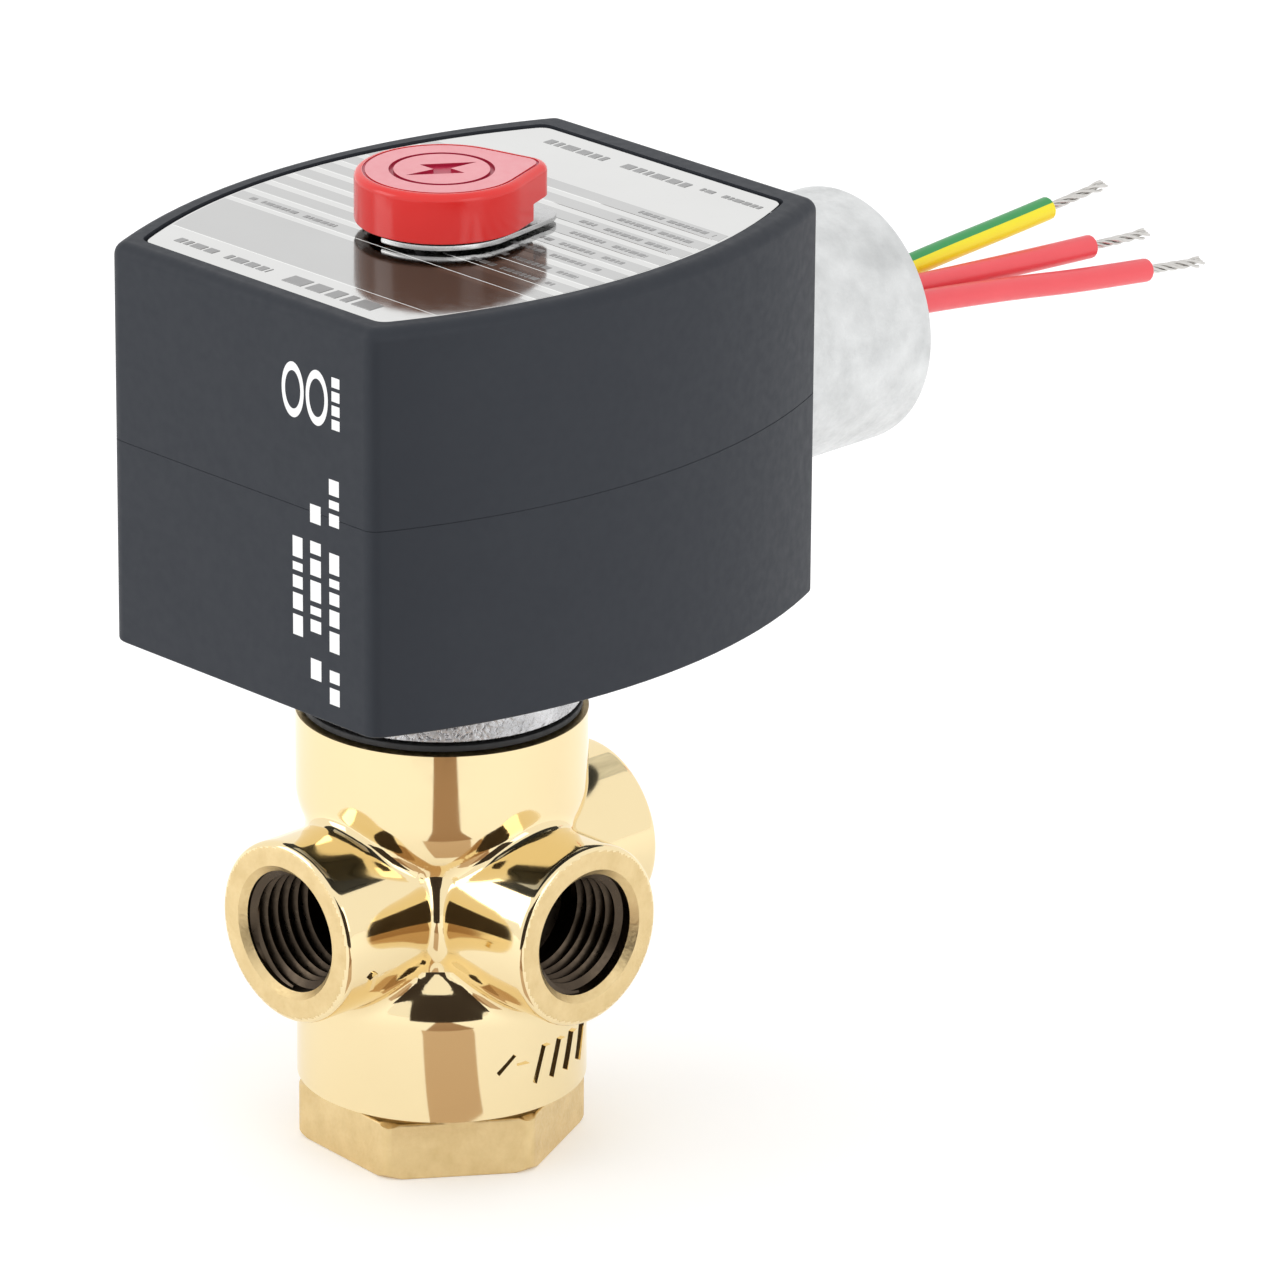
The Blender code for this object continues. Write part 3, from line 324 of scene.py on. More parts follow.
PORT_Z = 28.8
BARREL = 15.5
BOSS = 9.9
REACH = 22.5
WAIST = 12.5
SHOULDER = 8.0
SHOULDER_START = 11.4
FILLET = 1.6
FACE_EDGE = 0.9
VOXEL = 0.3
BODY_BOTTOM, BODY_TOP = 7.2, 48.6
PORT_WAYS = {"front": (0, -1, 0), "back": (0, 1, 0), "side": (1, 0, 0)}

brass = textured("polished_brass", (0.89, 0.74, 0.45), (0.85, 0.69, 0.40), 1, (0.05, 0.09), 500, 0.03)
machined = textured("machined_brass", (0.86, 0.68, 0.38), (0.64, 0.47, 0.22), 1, (0.28, 0.5), 2600, 0.8)
# The bores and their thread ridges take a very dark brass: painted shade inside the bores.
shaded_thread_brass = textured("shaded_thread_brass", (0.10, 0.075, 0.05), (0.06, 0.045, 0.035), 1, (0.25, 0.4), 1500, 0.2)


def spun(profile, steps=96):
    """A closed turned shape from a closed outline of (radius, height) points, in millimetres."""
    bm = bmesh.new()
    verts = [bm.verts.new((max(p[0], 0), 0, p[1])) for p in profile]
    edges = [bm.edges.new((a, b)) for a, b in zip(verts, verts[1:] + verts[:1])]
    bmesh.ops.spin(
        bm, geom=verts + edges, cent=(0, 0, 0), axis=(0, 0, 1), angle=2 * math.pi, steps=steps, use_merge=True
    )
    bmesh.ops.remove_doubles(bm, verts=bm.verts, dist=1e-4)
    bmesh.ops.dissolve_degenerate(bm, edges=bm.edges, dist=1e-4)
    loose = [e for e in bm.edges if not e.link_faces]
    bmesh.ops.delete(bm, geom=loose, context="EDGES")
    bmesh.ops.recalc_face_normals(bm, faces=bm.faces)
    return bm


def aimed(bm, direction, place=(0, 0, 0)):
    """Lays a shape that was turned about Z along a direction, with its origin at a place."""
    turn = Vector(direction).to_track_quat("Z", "Y").to_matrix().to_4x4()
    bmesh.ops.transform(bm, matrix=Matrix.Translation(place) @ turn, verts=bm.verts)
    return bm


def worked(obj, *steps):
    """Works cuts and joins into the mesh. Each step is a Boolean operation and the shape that it uses."""
    for operation, shape in steps:
        tool = linked("tool", shape) if isinstance(shape, bmesh.types.BMesh) else shape
        change = obj.modifiers.new("step", "BOOLEAN")
        change.operation = operation
        change.object = tool
        change.solver = "MANIFOLD"
        mesh = evaluated(obj)
        obj.modifiers.clear()
        obj.data = mesh
        bpy.data.objects.remove(tool)
    return obj


def nearer(a, b, blend):
    """The smaller of two distances, blended where they are nearly the same."""
    near = np.maximum(blend - np.abs(a - b), 0) / blend
    return np.minimum(a, b) - near * near * blend / 4


def casting(points):
    """How far each point stands off the casting's skin."""
    x, y, z = points.T
    level = np.maximum(SHOULDER_START - np.abs(z - PORT_Z), 0)
    rounding = np.sqrt(np.maximum(SHOULDER**2 - level**2, 0)) + BARREL - SHOULDER
    skin = np.hypot(x, y) - np.maximum(rounding, WAIST)
    for tube, end in (
        (np.hypot(x, z - PORT_Z) - BOSS, np.abs(y) - REACH),
        (np.hypot(y, z - PORT_Z) - BOSS, np.maximum(x - REACH, -x)),
    ):
        skin = nearer(skin, -nearer(-tube, -end, FACE_EDGE), FILLET)
    return skin


def settle(points, rounds=5):
    """Moves points on to the casting's skin, along its slope."""
    step = 0.01
    for _ in range(rounds):
        off = casting(points)
        slope = np.stack([(casting(points + axis) - off) / step for axis in np.eye(3) * step], 1)
        points = points - slope * (off / np.maximum((slope**2).sum(1), 0.2))[:, None]
    return points


def valve_casting():
    """The casting before it is bored: a rough union of barrel and bosses, drawn on to the smooth skin."""
    past = 3
    foot, head = BODY_BOTTOM - past, BODY_TOP + past
    rough = linked("valve_casting", spun([(0, foot), (BARREL, foot), (BARREL, head), (0, head)]))
    for direction in PORT_WAYS.values():
        stub = spun([(0, 0), (BOSS, 0), (BOSS, REACH), (0, REACH)])
        worked(rough, ("UNION", aimed(stub, direction, (0, 0, PORT_Z))))
    remesh = rough.modifiers.new("skin", "REMESH")
    remesh.mode = "VOXEL"
    remesh.voxel_size = VOXEL * MM
    mesh = evaluated(rough)
    bpy.data.objects.remove(rough)
    bm = bmesh.new()
    bm.from_mesh(mesh)
    bmesh.ops.scale(bm, vec=(1 / MM, 1 / MM, 1 / MM), verts=bm.verts)
    for _ in range(4):
        bmesh.ops.smooth_vert(
            bm, verts=bm.verts, factor=0.5, use_axis_x=True, use_axis_y=True, use_axis_z=True
        )
        inside = [v for v in bm.verts if BODY_BOTTOM - 1 < v.co.z < BODY_TOP + 1]
        for vert, place in zip(inside, settle(np.array([v.co for v in inside]))):
            vert.co = place
    for level, way in ((BODY_BOTTOM, -1), (BODY_TOP, 1)):
        geom = bm.verts[:] + bm.edges[:] + bm.faces[:]
        bmesh.ops.bisect_plane(
            bm, geom=geom, plane_co=(0, 0, level), plane_no=(0, 0, way), clear_outer=True, dist=1e-4
        )
    rim = [e for e in bm.edges if e.is_boundary]
    bmesh.ops.holes_fill(bm, edges=rim)
    bmesh.ops.recalc_face_normals(bm, faces=bm.faces)
    return linked("valve_casting", bm)


SEAT_BORE, SEAT_LAND, SEAT_NOSE = 2.4, 3.8, 1.0
LOWER_SEAT, UPPER_SEAT = 20.6, 37.0
LOWER_CHAMBER, UPPER_CHAMBER = 7.6, 9.6
CAP_THREAD, BONNET_THREAD = 12.1, 12.2
NECK_TOP, SPIGOT_BOTTOM = 13.0, 40.7
RING_SEAT, RING_POCKET = 13.9, 1.6
PORT_BORE, PORT_CHAMFER, PORT_DEPTH = 6.6, 0.7, 11.0
PORT_MOUTH = PORT_BORE + PORT_CHAMFER
PASSAGE = 1.9


def body_bores():
    """Everything that is bored out of the casting, as one shape."""
    past = 1
    bores = linked(
        "bores",
        spun(
            [
                (0, BODY_TOP + past),
                (BONNET_THREAD + 0.4, BODY_TOP + past),
                (BONNET_THREAD + 0.4, BODY_TOP - 0.3),
                (BONNET_THREAD, BODY_TOP - 0.7),
                (BONNET_THREAD, SPIGOT_BOTTOM - 0.3),
                (UPPER_CHAMBER, SPIGOT_BOTTOM - 0.3),
                (UPPER_CHAMBER, UPPER_SEAT - SEAT_NOSE),
                (SEAT_LAND, UPPER_SEAT - SEAT_NOSE),
                (SEAT_LAND, UPPER_SEAT),
                (SEAT_BORE, UPPER_SEAT),
                (SEAT_BORE, LOWER_SEAT),
                (SEAT_LAND, LOWER_SEAT),
                (SEAT_LAND, LOWER_SEAT + SEAT_NOSE),
                (LOWER_CHAMBER, LOWER_SEAT + SEAT_NOSE),
                (LOWER_CHAMBER, NECK_TOP + 0.3),
                (CAP_THREAD, NECK_TOP + 0.3),
                (CAP_THREAD, BODY_BOTTOM + RING_POCKET),
                (RING_SEAT, BODY_BOTTOM + RING_POCKET),
                (RING_SEAT, BODY_BOTTOM - past),
                (0, BODY_BOTTOM - past),
            ]
        ),
    )
    port_floor = REACH - PORT_DEPTH
    runs = (
        ((0, -port_floor, PORT_Z), (0, 0, PORT_Z)),
        ((0, port_floor, PORT_Z), (0, UPPER_CHAMBER - 2, UPPER_SEAT + 0.6)),
        ((port_floor, 0, PORT_Z), (LOWER_CHAMBER - 2, 0, LOWER_SEAT - 3)),
    )
    for start, end in runs:
        run = Vector(end) - Vector(start)
        drill = spun([(0, 0), (PASSAGE, 0), (PASSAGE, run.length), (0, run.length)], 32)
        worked(bores, ("UNION", aimed(drill, run, start)))
    for direction in PORT_WAYS.values():
        socket = spun(
            [
                (0, REACH + past),
                (PORT_MOUTH + past, REACH + past),
                (PORT_BORE, REACH - PORT_CHAMFER),
                (PORT_BORE, port_floor),
                (0, port_floor - 2),
            ]
        )
        worked(bores, ("UNION", aimed(socket, direction, (0, 0, PORT_Z))))
    return bores


def eased(corners, ease, steps=3):
    """An outline with every corner rounded, each corner's own third value taking the place of ease."""
    points = []
    count = len(corners)
    for i, corner in enumerate(corners):
        here = Vector(corner[:2])
        before, after = Vector(corners[i - 1][:2]), Vector(corners[(i + 1) % count][:2])
        cut = corner[2] if len(corner) > 2 else ease
        cut = min(cut, (here - before).length * 0.45, (after - here).length * 0.45)
        if cut <= 0:
            points.append(here)
            continue
        start, end = here + (before - here).normalized() * cut, here + (after - here).normalized() * cut
        for j in range(steps + 1):
            t = j / steps
            points.append(start * (1 - t) ** 2 + here * 2 * t * (1 - t) + end * t**2)
    return points


def slab(outline, low, high):
    """A flat closed shape from its outline, seen from above."""
    bm = bmesh.new()
    face = bm.faces.new([bm.verts.new((p[0], p[1], low)) for p in outline])
    grown = bmesh.ops.extrude_face_region(bm, geom=[face])
    top = [v for v in grown["geom"] if isinstance(v, bmesh.types.BMVert)]
    bmesh.ops.translate(bm, vec=(0, 0, high - low), verts=top)
    bmesh.ops.recalc_face_normals(bm, faces=bm.faces)
    return bm


def raised(outline, place, outward, upward, height=0.3):
    """A cast mark that stands off the skin where it faces outward."""
    outward = Vector(outward).normalized()
    upward = (Vector(upward) - outward * outward.dot(Vector(upward))).normalized()
    axes = Matrix((upward.cross(outward), upward, outward)).transposed().to_4x4()
    bm = slab(eased(outline, 0.12, 2), -0.6, height)
    bmesh.ops.transform(bm, matrix=Matrix.Translation(place) @ axes, verts=bm.verts)
    return bm


body = worked(valve_casting(), ("DIFFERENCE", body_bores()))
MARK_Z = 12.2
ARROW = [(-1.9, 0), (0.2, -1.9), (0.2, -0.7), (1.9, -0.7), (1.9, 0.7), (0.2, 0.7), (0.2, 1.9)]
SLANT = [(-1.1, -2), (-0.2, -2), (1.1, 2), (0.2, 2)]
ONE = [(-0.3, -1.1), (0.3, -1.1), (0.3, 1.1), (-0.1, 1.1), (-0.75, 0.5), (-0.3, 0.5)]
for lean, mark in ((-14, ARROW), (0, SLANT), (9, SLANT), (18, SLANT), (29, SLANT)):
    outward = Vector((math.cos(math.radians(lean)), math.sin(math.radians(lean)), 0))
    worked(body, ("UNION", raised(mark, outward * BARREL + Vector((0, 0, MARK_Z)), outward, (0, 0, 1))))
outward = Vector((math.cos(math.radians(-22)), 0, math.sin(math.radians(-22))))
worked(body, ("UNION", raised(ONE, outward * BOSS + Vector((0, -18.6, PORT_Z)), outward, (0, 0, 1))))
done(body, "valve", brass, "valve_body", slot="brass")
body.data.materials.append(machined)
body.data.materials.append(shaded_thread_brass)
MACHINED_FACES, SHADED_BORE_FACES = 1, 2
for face in body.data.polygons:
    x, y, z = face.center / MM
    outward = max(abs(y), x)
    aside = math.hypot(min(abs(y), abs(x)), z - PORT_Z)
    if z > BODY_TOP - 0.01 or z < BODY_BOTTOM + 0.01 or outward > REACH - 0.05:
        face.material_index = MACHINED_FACES
    elif outward > REACH - PORT_CHAMFER - 0.02 and aside < PORT_MOUTH:
        face.material_index = MACHINED_FACES
    # Faces deep in the bores take the dark brass of painted shade.
    elif outward > REACH - PORT_DEPTH - 3 and aside < PORT_MOUTH:
        face.material_index = SHADED_BORE_FACES


def thread(name, radius, crest, pitch, start, end, direction, place, steps=72):
    """An inside screw thread: one ridge wound round the bore, with both its ends closed."""
    bm = bmesh.new()
    turns = (end - start) / pitch
    root = radius + 0.1
    corners = ((root, 0), (root, 0.9), (crest, 0.52), (crest, 0.38))
    verts = [bm.verts.new((r, 0, start + pitch * share)) for r, share in corners]
    edges = [bm.edges.new((a, b)) for a, b in zip(verts, verts[1:] + verts[:1])]
    bmesh.ops.spin(
        bm,
        geom=verts + edges,
        cent=(0, 0, 0),
        axis=(0, 0, 1),
        dvec=(0, 0, pitch / steps),
        angle=2 * math.pi * turns,
        steps=round(turns * steps),
    )
    for vert in bm.verts:
        if vert.co.xy.length < radius:
            run = (vert.co.z - start) / pitch - 0.45
            ease = min(max(min(run, turns - run) / 0.2, 0.02), 1)
            vert.co.xy *= (root + (crest - root) * ease) / vert.co.xy.length
    bmesh.ops.holes_fill(bm, edges=[e for e in bm.edges if e.is_boundary])
    bmesh.ops.recalc_face_normals(bm, faces=bm.faces)
    return linked(name, aimed(bm, direction, place))


# The thread ridges take the same dark brass, as painted shade in the bores.
PORT_CREST, PORT_PITCH = 5.85, 1.41
for name, direction in PORT_WAYS.items():
    start, end = REACH - 10, REACH - 1.9
    place = (0, 0, PORT_Z)
    ridge = thread("port_thread_" + name, PORT_BORE, PORT_CREST, PORT_PITCH, start, end, direction, place)
    done(ridge, "valve", shaded_thread_brass, slot="brass")


# ---------------------------------------------------------------- end cap
# A hexagon plug turned and milled from brass bar, screwed into the body's foot on a rubber ring. Its
# corners are chamfered and its flats keep the mill's grain. Brass, not polished.

def soften(bm, edges, width, segments=3):
    bmesh.ops.bevel(
        bm, geom=edges, offset=width, segments=segments, profile=0.5, affect="EDGES", material=-1
    )


HEX_TURN = math.radians(-5.3)
HEX_CORNER, HEX_HEIGHT = 15.6, 6.4
RING_OUTER = 13.6
SPRING_POCKET, SPRING_FLOOR = 6.6, 3.2
leans = [HEX_TURN + i * math.pi / 3 for i in range(6)]
corners = [(HEX_CORNER * math.cos(lean), HEX_CORNER * math.sin(lean)) for lean in leans]
bm = slab(eased(corners, 0.9, 5), 0, HEX_HEIGHT)
soften(bm, [e for e in bm.edges if abs(e.verts[0].co.z - e.verts[1].co.z) < 0.01], 0.3)
end_cap = linked("hexagon_cap", bm)
chamfered = [
    (0, 0),
    (HEX_CORNER - 1, 0),
    (HEX_CORNER, 0.7, 0.5),
    (HEX_CORNER, HEX_HEIGHT - 0.6, 0.4),
    (HEX_CORNER - 0.9, HEX_HEIGHT),
    (0, HEX_HEIGHT),
]
neck = [
    (0, NECK_TOP),
    (CAP_THREAD - 0.3, NECK_TOP, 0.5),
    (CAP_THREAD - 0.3, HEX_HEIGHT + 0.5),
    (RING_OUTER, HEX_HEIGHT + 0.5, 0.2),
    (RING_OUTER, HEX_HEIGHT - 0.3),
    (0, HEX_HEIGHT - 0.3),
]
pocket = [
    (0, NECK_TOP + 0.3),
    (SPRING_POCKET, NECK_TOP + 0.3),
    (SPRING_POCKET, SPRING_FLOOR),
    (0, SPRING_FLOOR),
]
worked(
    end_cap,
    ("INTERSECT", spun(eased(chamfered, 0))),
    ("UNION", spun(eased(neck, 0))),
    ("DIFFERENCE", spun(pocket)),
)
done(end_cap, "valve", machined, "end_cap", slot="brass")


# ---------------------------------------------------------------- seals and gaskets
# Moulded nitrile rings, black and slightly dusty. The one under the bonnet shows as a dark line. The one
# round the end cap's neck is out of sight, among the inner pieces.

rubber = textured("black_rubber", (0.012, 0.012, 0.013), (0.03, 0.03, 0.03), 0, (0.5, 0.7), 900, 0.3)
GASKET_INNER, GASKET_OUTER, GASKET_BOTTOM, GASKET_TOP = 12.2, 14.9, 48.9, 49.6
ring = [
    (GASKET_INNER, GASKET_BOTTOM),
    (GASKET_OUTER, GASKET_BOTTOM),
    (GASKET_OUTER, GASKET_TOP),
    (GASKET_INNER, GASKET_TOP),
]
done(linked("bonnet_gasket", spun(eased(ring, 0.15))), "valve", rubber, "body_gasket", slot="black_rubber")


# ---------------------------------------------------------------- bonnet
# A screwed base turned from stainless bar, with six spanner notches in its rim. The tool has left a
# coarse bright grain on it.

steel = textured("stainless", (0.62, 0.62, 0.62), (0.5, 0.5, 0.5), 1, (0.22, 0.36), 1500, 0.15)
rough_steel = textured(
    "rough_stainless", (0.85, 0.85, 0.86), (0.3, 0.3, 0.31), 1, (0.15, 0.4), 1800, 1, deep=0.0003
)
FLANGE_BOTTOM, FLANGE_TOP, FLANGE_RADIUS = 49.9, 54.9, 14.8
TUBE_HOLE, CORE_HOLE = 6.65, 5.9
NOTCHES, NOTCH_RADIUS, NOTCH_BOTTOM = 6, 1.3, 52.4
bonnet_outline = [
    (TUBE_HOLE, FLANGE_TOP),
    (FLANGE_RADIUS, FLANGE_TOP, 0.5),
    (FLANGE_RADIUS, FLANGE_BOTTOM, 0.2),
    (BONNET_THREAD - 0.1, FLANGE_BOTTOM),
    (BONNET_THREAD - 0.1, SPIGOT_BOTTOM, 0.6),
    (CORE_HOLE, SPIGOT_BOTTOM, 0.2),
    (CORE_HOLE, SPIGOT_BOTTOM + 3),
    (TUBE_HOLE, SPIGOT_BOTTOM + 3),
]
bonnet = linked("bonnet_base", spun(eased(bonnet_outline, 0)))
for i in range(NOTCHES):
    lean = 2 * math.pi / NOTCHES * i
    above = FLANGE_TOP + 1.1
    notch = spun([(0, NOTCH_BOTTOM), (NOTCH_RADIUS, NOTCH_BOTTOM), (NOTCH_RADIUS, above), (0, above)], 24)
    place = (FLANGE_RADIUS * math.cos(lean), FLANGE_RADIUS * math.sin(lean), 0)
    bmesh.ops.translate(notch, vec=place, verts=notch.verts)
    worked(bonnet, ("DIFFERENCE", notch))
done(bonnet, "valve", rough_steel, "bonnet", slot="stainless")


# ---------------------------------------------------------------- spring washer
# A three-wave washer of spring steel between the bonnet and the coil, which keeps the coil from
# rattling while letting it turn.

WASHER_INNER, WASHER_OUTER, WASHER_BOTTOM, WASHER_TOP = 7.6, 12.5, 56, 56.5
WAVES, WAVE_HEIGHT = 3, 0.7
washer_outline = [
    (WASHER_INNER, WASHER_BOTTOM),
    (WASHER_OUTER, WASHER_BOTTOM),
    (WASHER_OUTER, WASHER_TOP),
    (WASHER_INNER, WASHER_TOP),
]
bm = spun(eased(washer_outline, 0.12))
for vert in bm.verts:
    vert.co.z += WAVE_HEIGHT * math.cos(WAVES * math.atan2(vert.co.y, vert.co.x))
done(linked("wave_washer", bm), "valve", steel, "spring_washer", slot="stainless")


# ---------------------------------------------------------------- fixed core and its stud
# A turned stainless plug brazed into the top of the core tube. The stud above it carries the clip in a
# square groove, and its head keeps the cap.

STUD_RADIUS, STUD_TOP = 4.5, 104.7
GROOVE_RADIUS, GROOVE_BOTTOM, GROOVE_TOP = 3.5, 101.2, 102.4
PLUG_RADIUS, PLUG_BOTTOM, PLUG_TOP = 5.85, 71.8, 97.6
plug_outline = [
    (0, STUD_TOP),
    (STUD_RADIUS, STUD_TOP, 0.5),
    (STUD_RADIUS, GROOVE_TOP, 0.15),
    (GROOVE_RADIUS, GROOVE_TOP),
    (GROOVE_RADIUS, GROOVE_BOTTOM),
    (STUD_RADIUS, GROOVE_BOTTOM, 0.15),
    (STUD_RADIUS, PLUG_TOP),
    (PLUG_RADIUS, PLUG_TOP),
    (PLUG_RADIUS, PLUG_BOTTOM),
    (4.55, PLUG_BOTTOM),
    (4.55, 73.3),
    (3.65, 73.3),
    (3.65, PLUG_BOTTOM),
    (2.6, PLUG_BOTTOM),
    (2.6, 72.8),
    (0, 72.8),
]
done(linked("fixed_core", spun(eased(plug_outline, 0))), "valve", steel, "plug_nut", slot="stainless")


# ---------------------------------------------------------------- core spring
# A return spring of stainless wire in the core's bore, which bears on the fixed core. The disc spring
# below, among the inner pieces, keeps its fitted length.

SPRING_LOW, SPRING_HIGH, SPRING_RADIUS, SPRING_WIRE = 60.7, 72.4, 2, 0.3
COILS, COIL_STEPS = 7, 20
coils = []
for i in range(COILS * COIL_STEPS + 1):
    lean = 2 * math.pi * i / COIL_STEPS
    rise = min(max((i / COIL_STEPS - 1) / (COILS - 2), 0), 1)
    height = SPRING_LOW + (SPRING_HIGH - SPRING_LOW) * rise
    coils.append(Vector((SPRING_RADIUS * math.cos(lean), SPRING_RADIUS * math.sin(lean), height)))
spring = done(wire("return_spring", [coils], SPRING_WIRE), "plunger", steel, "core_spring", sharp=50)
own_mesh(spring)


# ---------------------------------------------------------------- coil housing
# A glass-filled moulding with a soft sheen, cast round the coil: flat ends, bulging sides, a rounded
# top edge and the thin line where the mould's halves met. White ink is set in its front face.

WIDE, FRONT, BACK, BULGE = 19.6, 28.2, 35.6, 7.45
HOUSING_BOTTOM, HOUSING_TOP, PARTING = 57.6, 101.4, 80.0
FACE = -FRONT
moulding = textured("moulding", (0.025, 0.0285, 0.036), (0.021, 0.0245, 0.032), 0, (0.5, 0.6), 900, 0.1)
moulding.node_tree.nodes["Principled BSDF"].inputs["Specular IOR Level"].default_value = 0.25
ink = textured("white_ink", (0.86, 0.86, 0.86), (0.80, 0.80, 0.80), 0, (0.55, 0.65), 900, 0.05)


def bulged(wide, front, back, bulge, corner, count=24):
    """An outline with flat ends, at -front and at back, and with sides that bulge past its half width."""
    half, centre_y = (front + back) / 2, (back - front) / 2
    radius = (half**2 + bulge**2) / (2 * bulge)
    centre_x = wide + bulge - radius
    sweep = math.asin(half / radius)
    side = []
    for i in range(count + 1):
        lean = sweep * (2 * i / count - 1)
        side.append((centre_x + radius * math.cos(lean), centre_y + radius * math.sin(lean)))
    corners = side + [(-x, y) for x, y in reversed(side)]
    ends = (0, count, count + 1, 2 * count + 1)
    marked = [(x, y, corner if i in ends else 0) for i, (x, y) in enumerate(corners)]
    return eased(marked, 0, 5)


def housing_shape(inset, low, high):
    return slab(bulged(WIDE - inset, FRONT - inset, BACK - inset, BULGE, max(1.2, inset / 3)), low, high)


def nameplate_shape(margin, low, high):
    return slab(bulged(WIDE - 1.8 + margin, FRONT - 3 + margin, BACK - 3.7 + margin, 6.7, 1.2), low, high)


def box(low, high):
    bm = bmesh.new()
    bmesh.ops.create_cube(bm, size=1)
    low, high = Vector(low), Vector(high)
    bmesh.ops.scale(bm, vec=high - low, verts=bm.verts)
    bmesh.ops.translate(bm, vec=(low + high) / 2, verts=bm.verts)
    return bm


def level_edges(bm, level):
    return [e for e in bm.edges if all(abs(v.co.z - level) < 1e-3 for v in e.verts)]


def gathered(shapes):
    """Several separate shapes as one."""
    whole = bmesh.new()
    for shape in shapes:
        mesh = bpy.data.meshes.new("part")
        shape.to_mesh(mesh)
        shape.free()
        whole.from_mesh(mesh)
        bpy.data.meshes.remove(mesh)
    return whole


def ink_marks(low, high):
    """The print on the front face: two plain loops, a short row of dashes and three columns of them."""
    shapes = []
    columns = ((8.6, 64.5, 77.4, 1.5), (11.3, 61.8, 80.2, 1.6), (14.1, 59.8, 83.6, 1.5))
    for number, (x, bottom, top, wide) in enumerate(columns):
        z, step = bottom, 0
        while z < top:
            long = 0.9 + 0.45 * ((step * 7 + number * 3) % 4)
            if (step * 5 + number) % 6:
                shapes.append(box((x - wide / 2, low, z), (x + wide / 2, high, min(z + long, top + 0.6))))
            z += long + 0.55
            step += 1
    inner, outer = 1.2, 1.75
    for x in (8.0, 11.6):
        loop = spun([(inner, low), (outer, low), (outer, high), (inner, high)], 48)
        lie = Matrix.Rotation(-math.pi / 2, 3, "X")
        bmesh.ops.rotate(loop, cent=(0, 0, 0), matrix=lie, verts=loop.verts)
        bmesh.ops.scale(loop, vec=(0.95, 1, 1.7), verts=loop.verts)
        bmesh.ops.translate(loop, vec=(x, 0, 92.4), verts=loop.verts)
        shapes.append(loop)
    for i in range(4):
        shapes.append(box((13.8, low, 89.6 + 1.5 * i), (15, high, 90.7 + 1.5 * i)))
    return gathered(shapes)


shell_shape = housing_shape(0, HOUSING_BOTTOM, HOUSING_TOP)
soften(shell_shape, level_edges(shell_shape, HOUSING_TOP), 1.4, 6)
soften(shell_shape, level_edges(shell_shape, HOUSING_BOTTOM), 0.35, 3)
shell = linked("coil_cover", shell_shape)
parting = worked(
    linked("parting", housing_shape(-1, PARTING - 0.05, PARTING + 0.05)),
    ("DIFFERENCE", housing_shape(0.05, PARTING - 1, PARTING + 1)),
)
HUB_AXIS, HUB_CENTRE = (0, 1, 0), (0, 0, HUB_Z)
HUB_FLANGE_TOP = 32.3
hub_hole = spun([(0, HUB_FLANGE_TOP), (12.15, HUB_FLANGE_TOP), (12.15, 36.5), (0, 36.5)], 96)
top_hole = spun([(0, 97), (7.2, 97), (7.2, 102), (0, 102)])
recess = nameplate_shape(0.3, HOUSING_TOP - 1, HOUSING_TOP + 1)
worked(
    shell,
    ("DIFFERENCE", parting),
    ("DIFFERENCE", housing_shape(3, HOUSING_BOTTOM - 1, 98.2)),
    ("DIFFERENCE", recess),
    ("DIFFERENCE", top_hole),
    ("DIFFERENCE", aimed(hub_hole, HUB_AXIS, HUB_CENTRE)),
    ("DIFFERENCE", ink_marks(FACE - 1, FACE + 0.15)),
)
done(shell, "solenoid", moulding, "housing", slot="moulding", sharp=25)
done(linked("front_print", ink_marks(FACE + 0.01, FACE + 0.2)), "solenoid", ink)


# ---------------------------------------------------------------- housing's underside
# The moulding closes round a zinc-plated steel plate, which carries the magnet's flux and bears on the
# spring washer.

zinc_plate = textured("zinc_plate", (0.55, 0.56, 0.58), (0.42, 0.43, 0.44), 1, (0.3, 0.45), 500, 0.1)
base = worked(
    linked("cover_base", housing_shape(3.3, 57.7, 59.9)),
    ("DIFFERENCE", box((-13.3, -20.9, 57), (13.3, 20.9, 61))),
)
done(base, "solenoid", moulding, "housing_base", slot="moulding")
bm = box((-13, -20.6, 57.7), (13, 20.6, 60.2))
soften(bm, bm.edges[:], 0.4)
tube_hole = spun([(0, 57), (6.9, 57), (6.9, 61), (0, 61)])
plate = worked(linked("flux_plate", bm), ("DIFFERENCE", tube_hole))
done(plate, "solenoid", zinc_plate, "yoke_plate", slot="zinc")


# ---------------------------------------------------------------- conduit hub
# A zinc die casting moulded into the housing's back wall, tapped for half-inch conduit. Its skin is
# dull and mottled. A rubber seal closes it round the leads.

casting_zinc = textured(
    "cast_zinc", (0.84, 0.85, 0.85), (0.46, 0.47, 0.47), 1, (0.28, 0.5), 1600, 0.9, deep=0.0001
)
HUB_RADIUS, HUB_BORE, HUB_MOUTH = 14.05, 10.9, 59.2
HUB_CREST, HUB_PITCH = 10.2, 1.81
HUB_FLANGE, HUB_NECK, HUB_INSIDE = 13.75, 12.05, 30
SEAL_RADIUS, SEAL_HOLE = 7.9, 8
hub_outline = [
    (11.1, HUB_MOUTH),
    (HUB_RADIUS, HUB_MOUTH, 0.7),
    (HUB_RADIUS, BACK + 0.3, 0.3),
    (HUB_NECK, BACK + 0.3),
    (HUB_NECK, HUB_FLANGE_TOP),
    (HUB_FLANGE, HUB_FLANGE_TOP),
    (HUB_FLANGE, HUB_INSIDE),
    (SEAL_HOLE, HUB_INSIDE),
    (SEAL_HOLE, 43.2),
    (HUB_BORE, 43.2),
    (HUB_BORE, 58.4),
]
hub = linked("cast_hub", aimed(spun(eased(hub_outline, 0), 128), HUB_AXIS, HUB_CENTRE))
done(hub, "solenoid", casting_zinc, "conduit_hub", slot="zinc")
ridge = thread("hub_thread", HUB_BORE, HUB_CREST, HUB_PITCH, 43.6, 58.2, HUB_AXIS, HUB_CENTRE)
done(ridge, "solenoid", casting_zinc, slot="zinc")
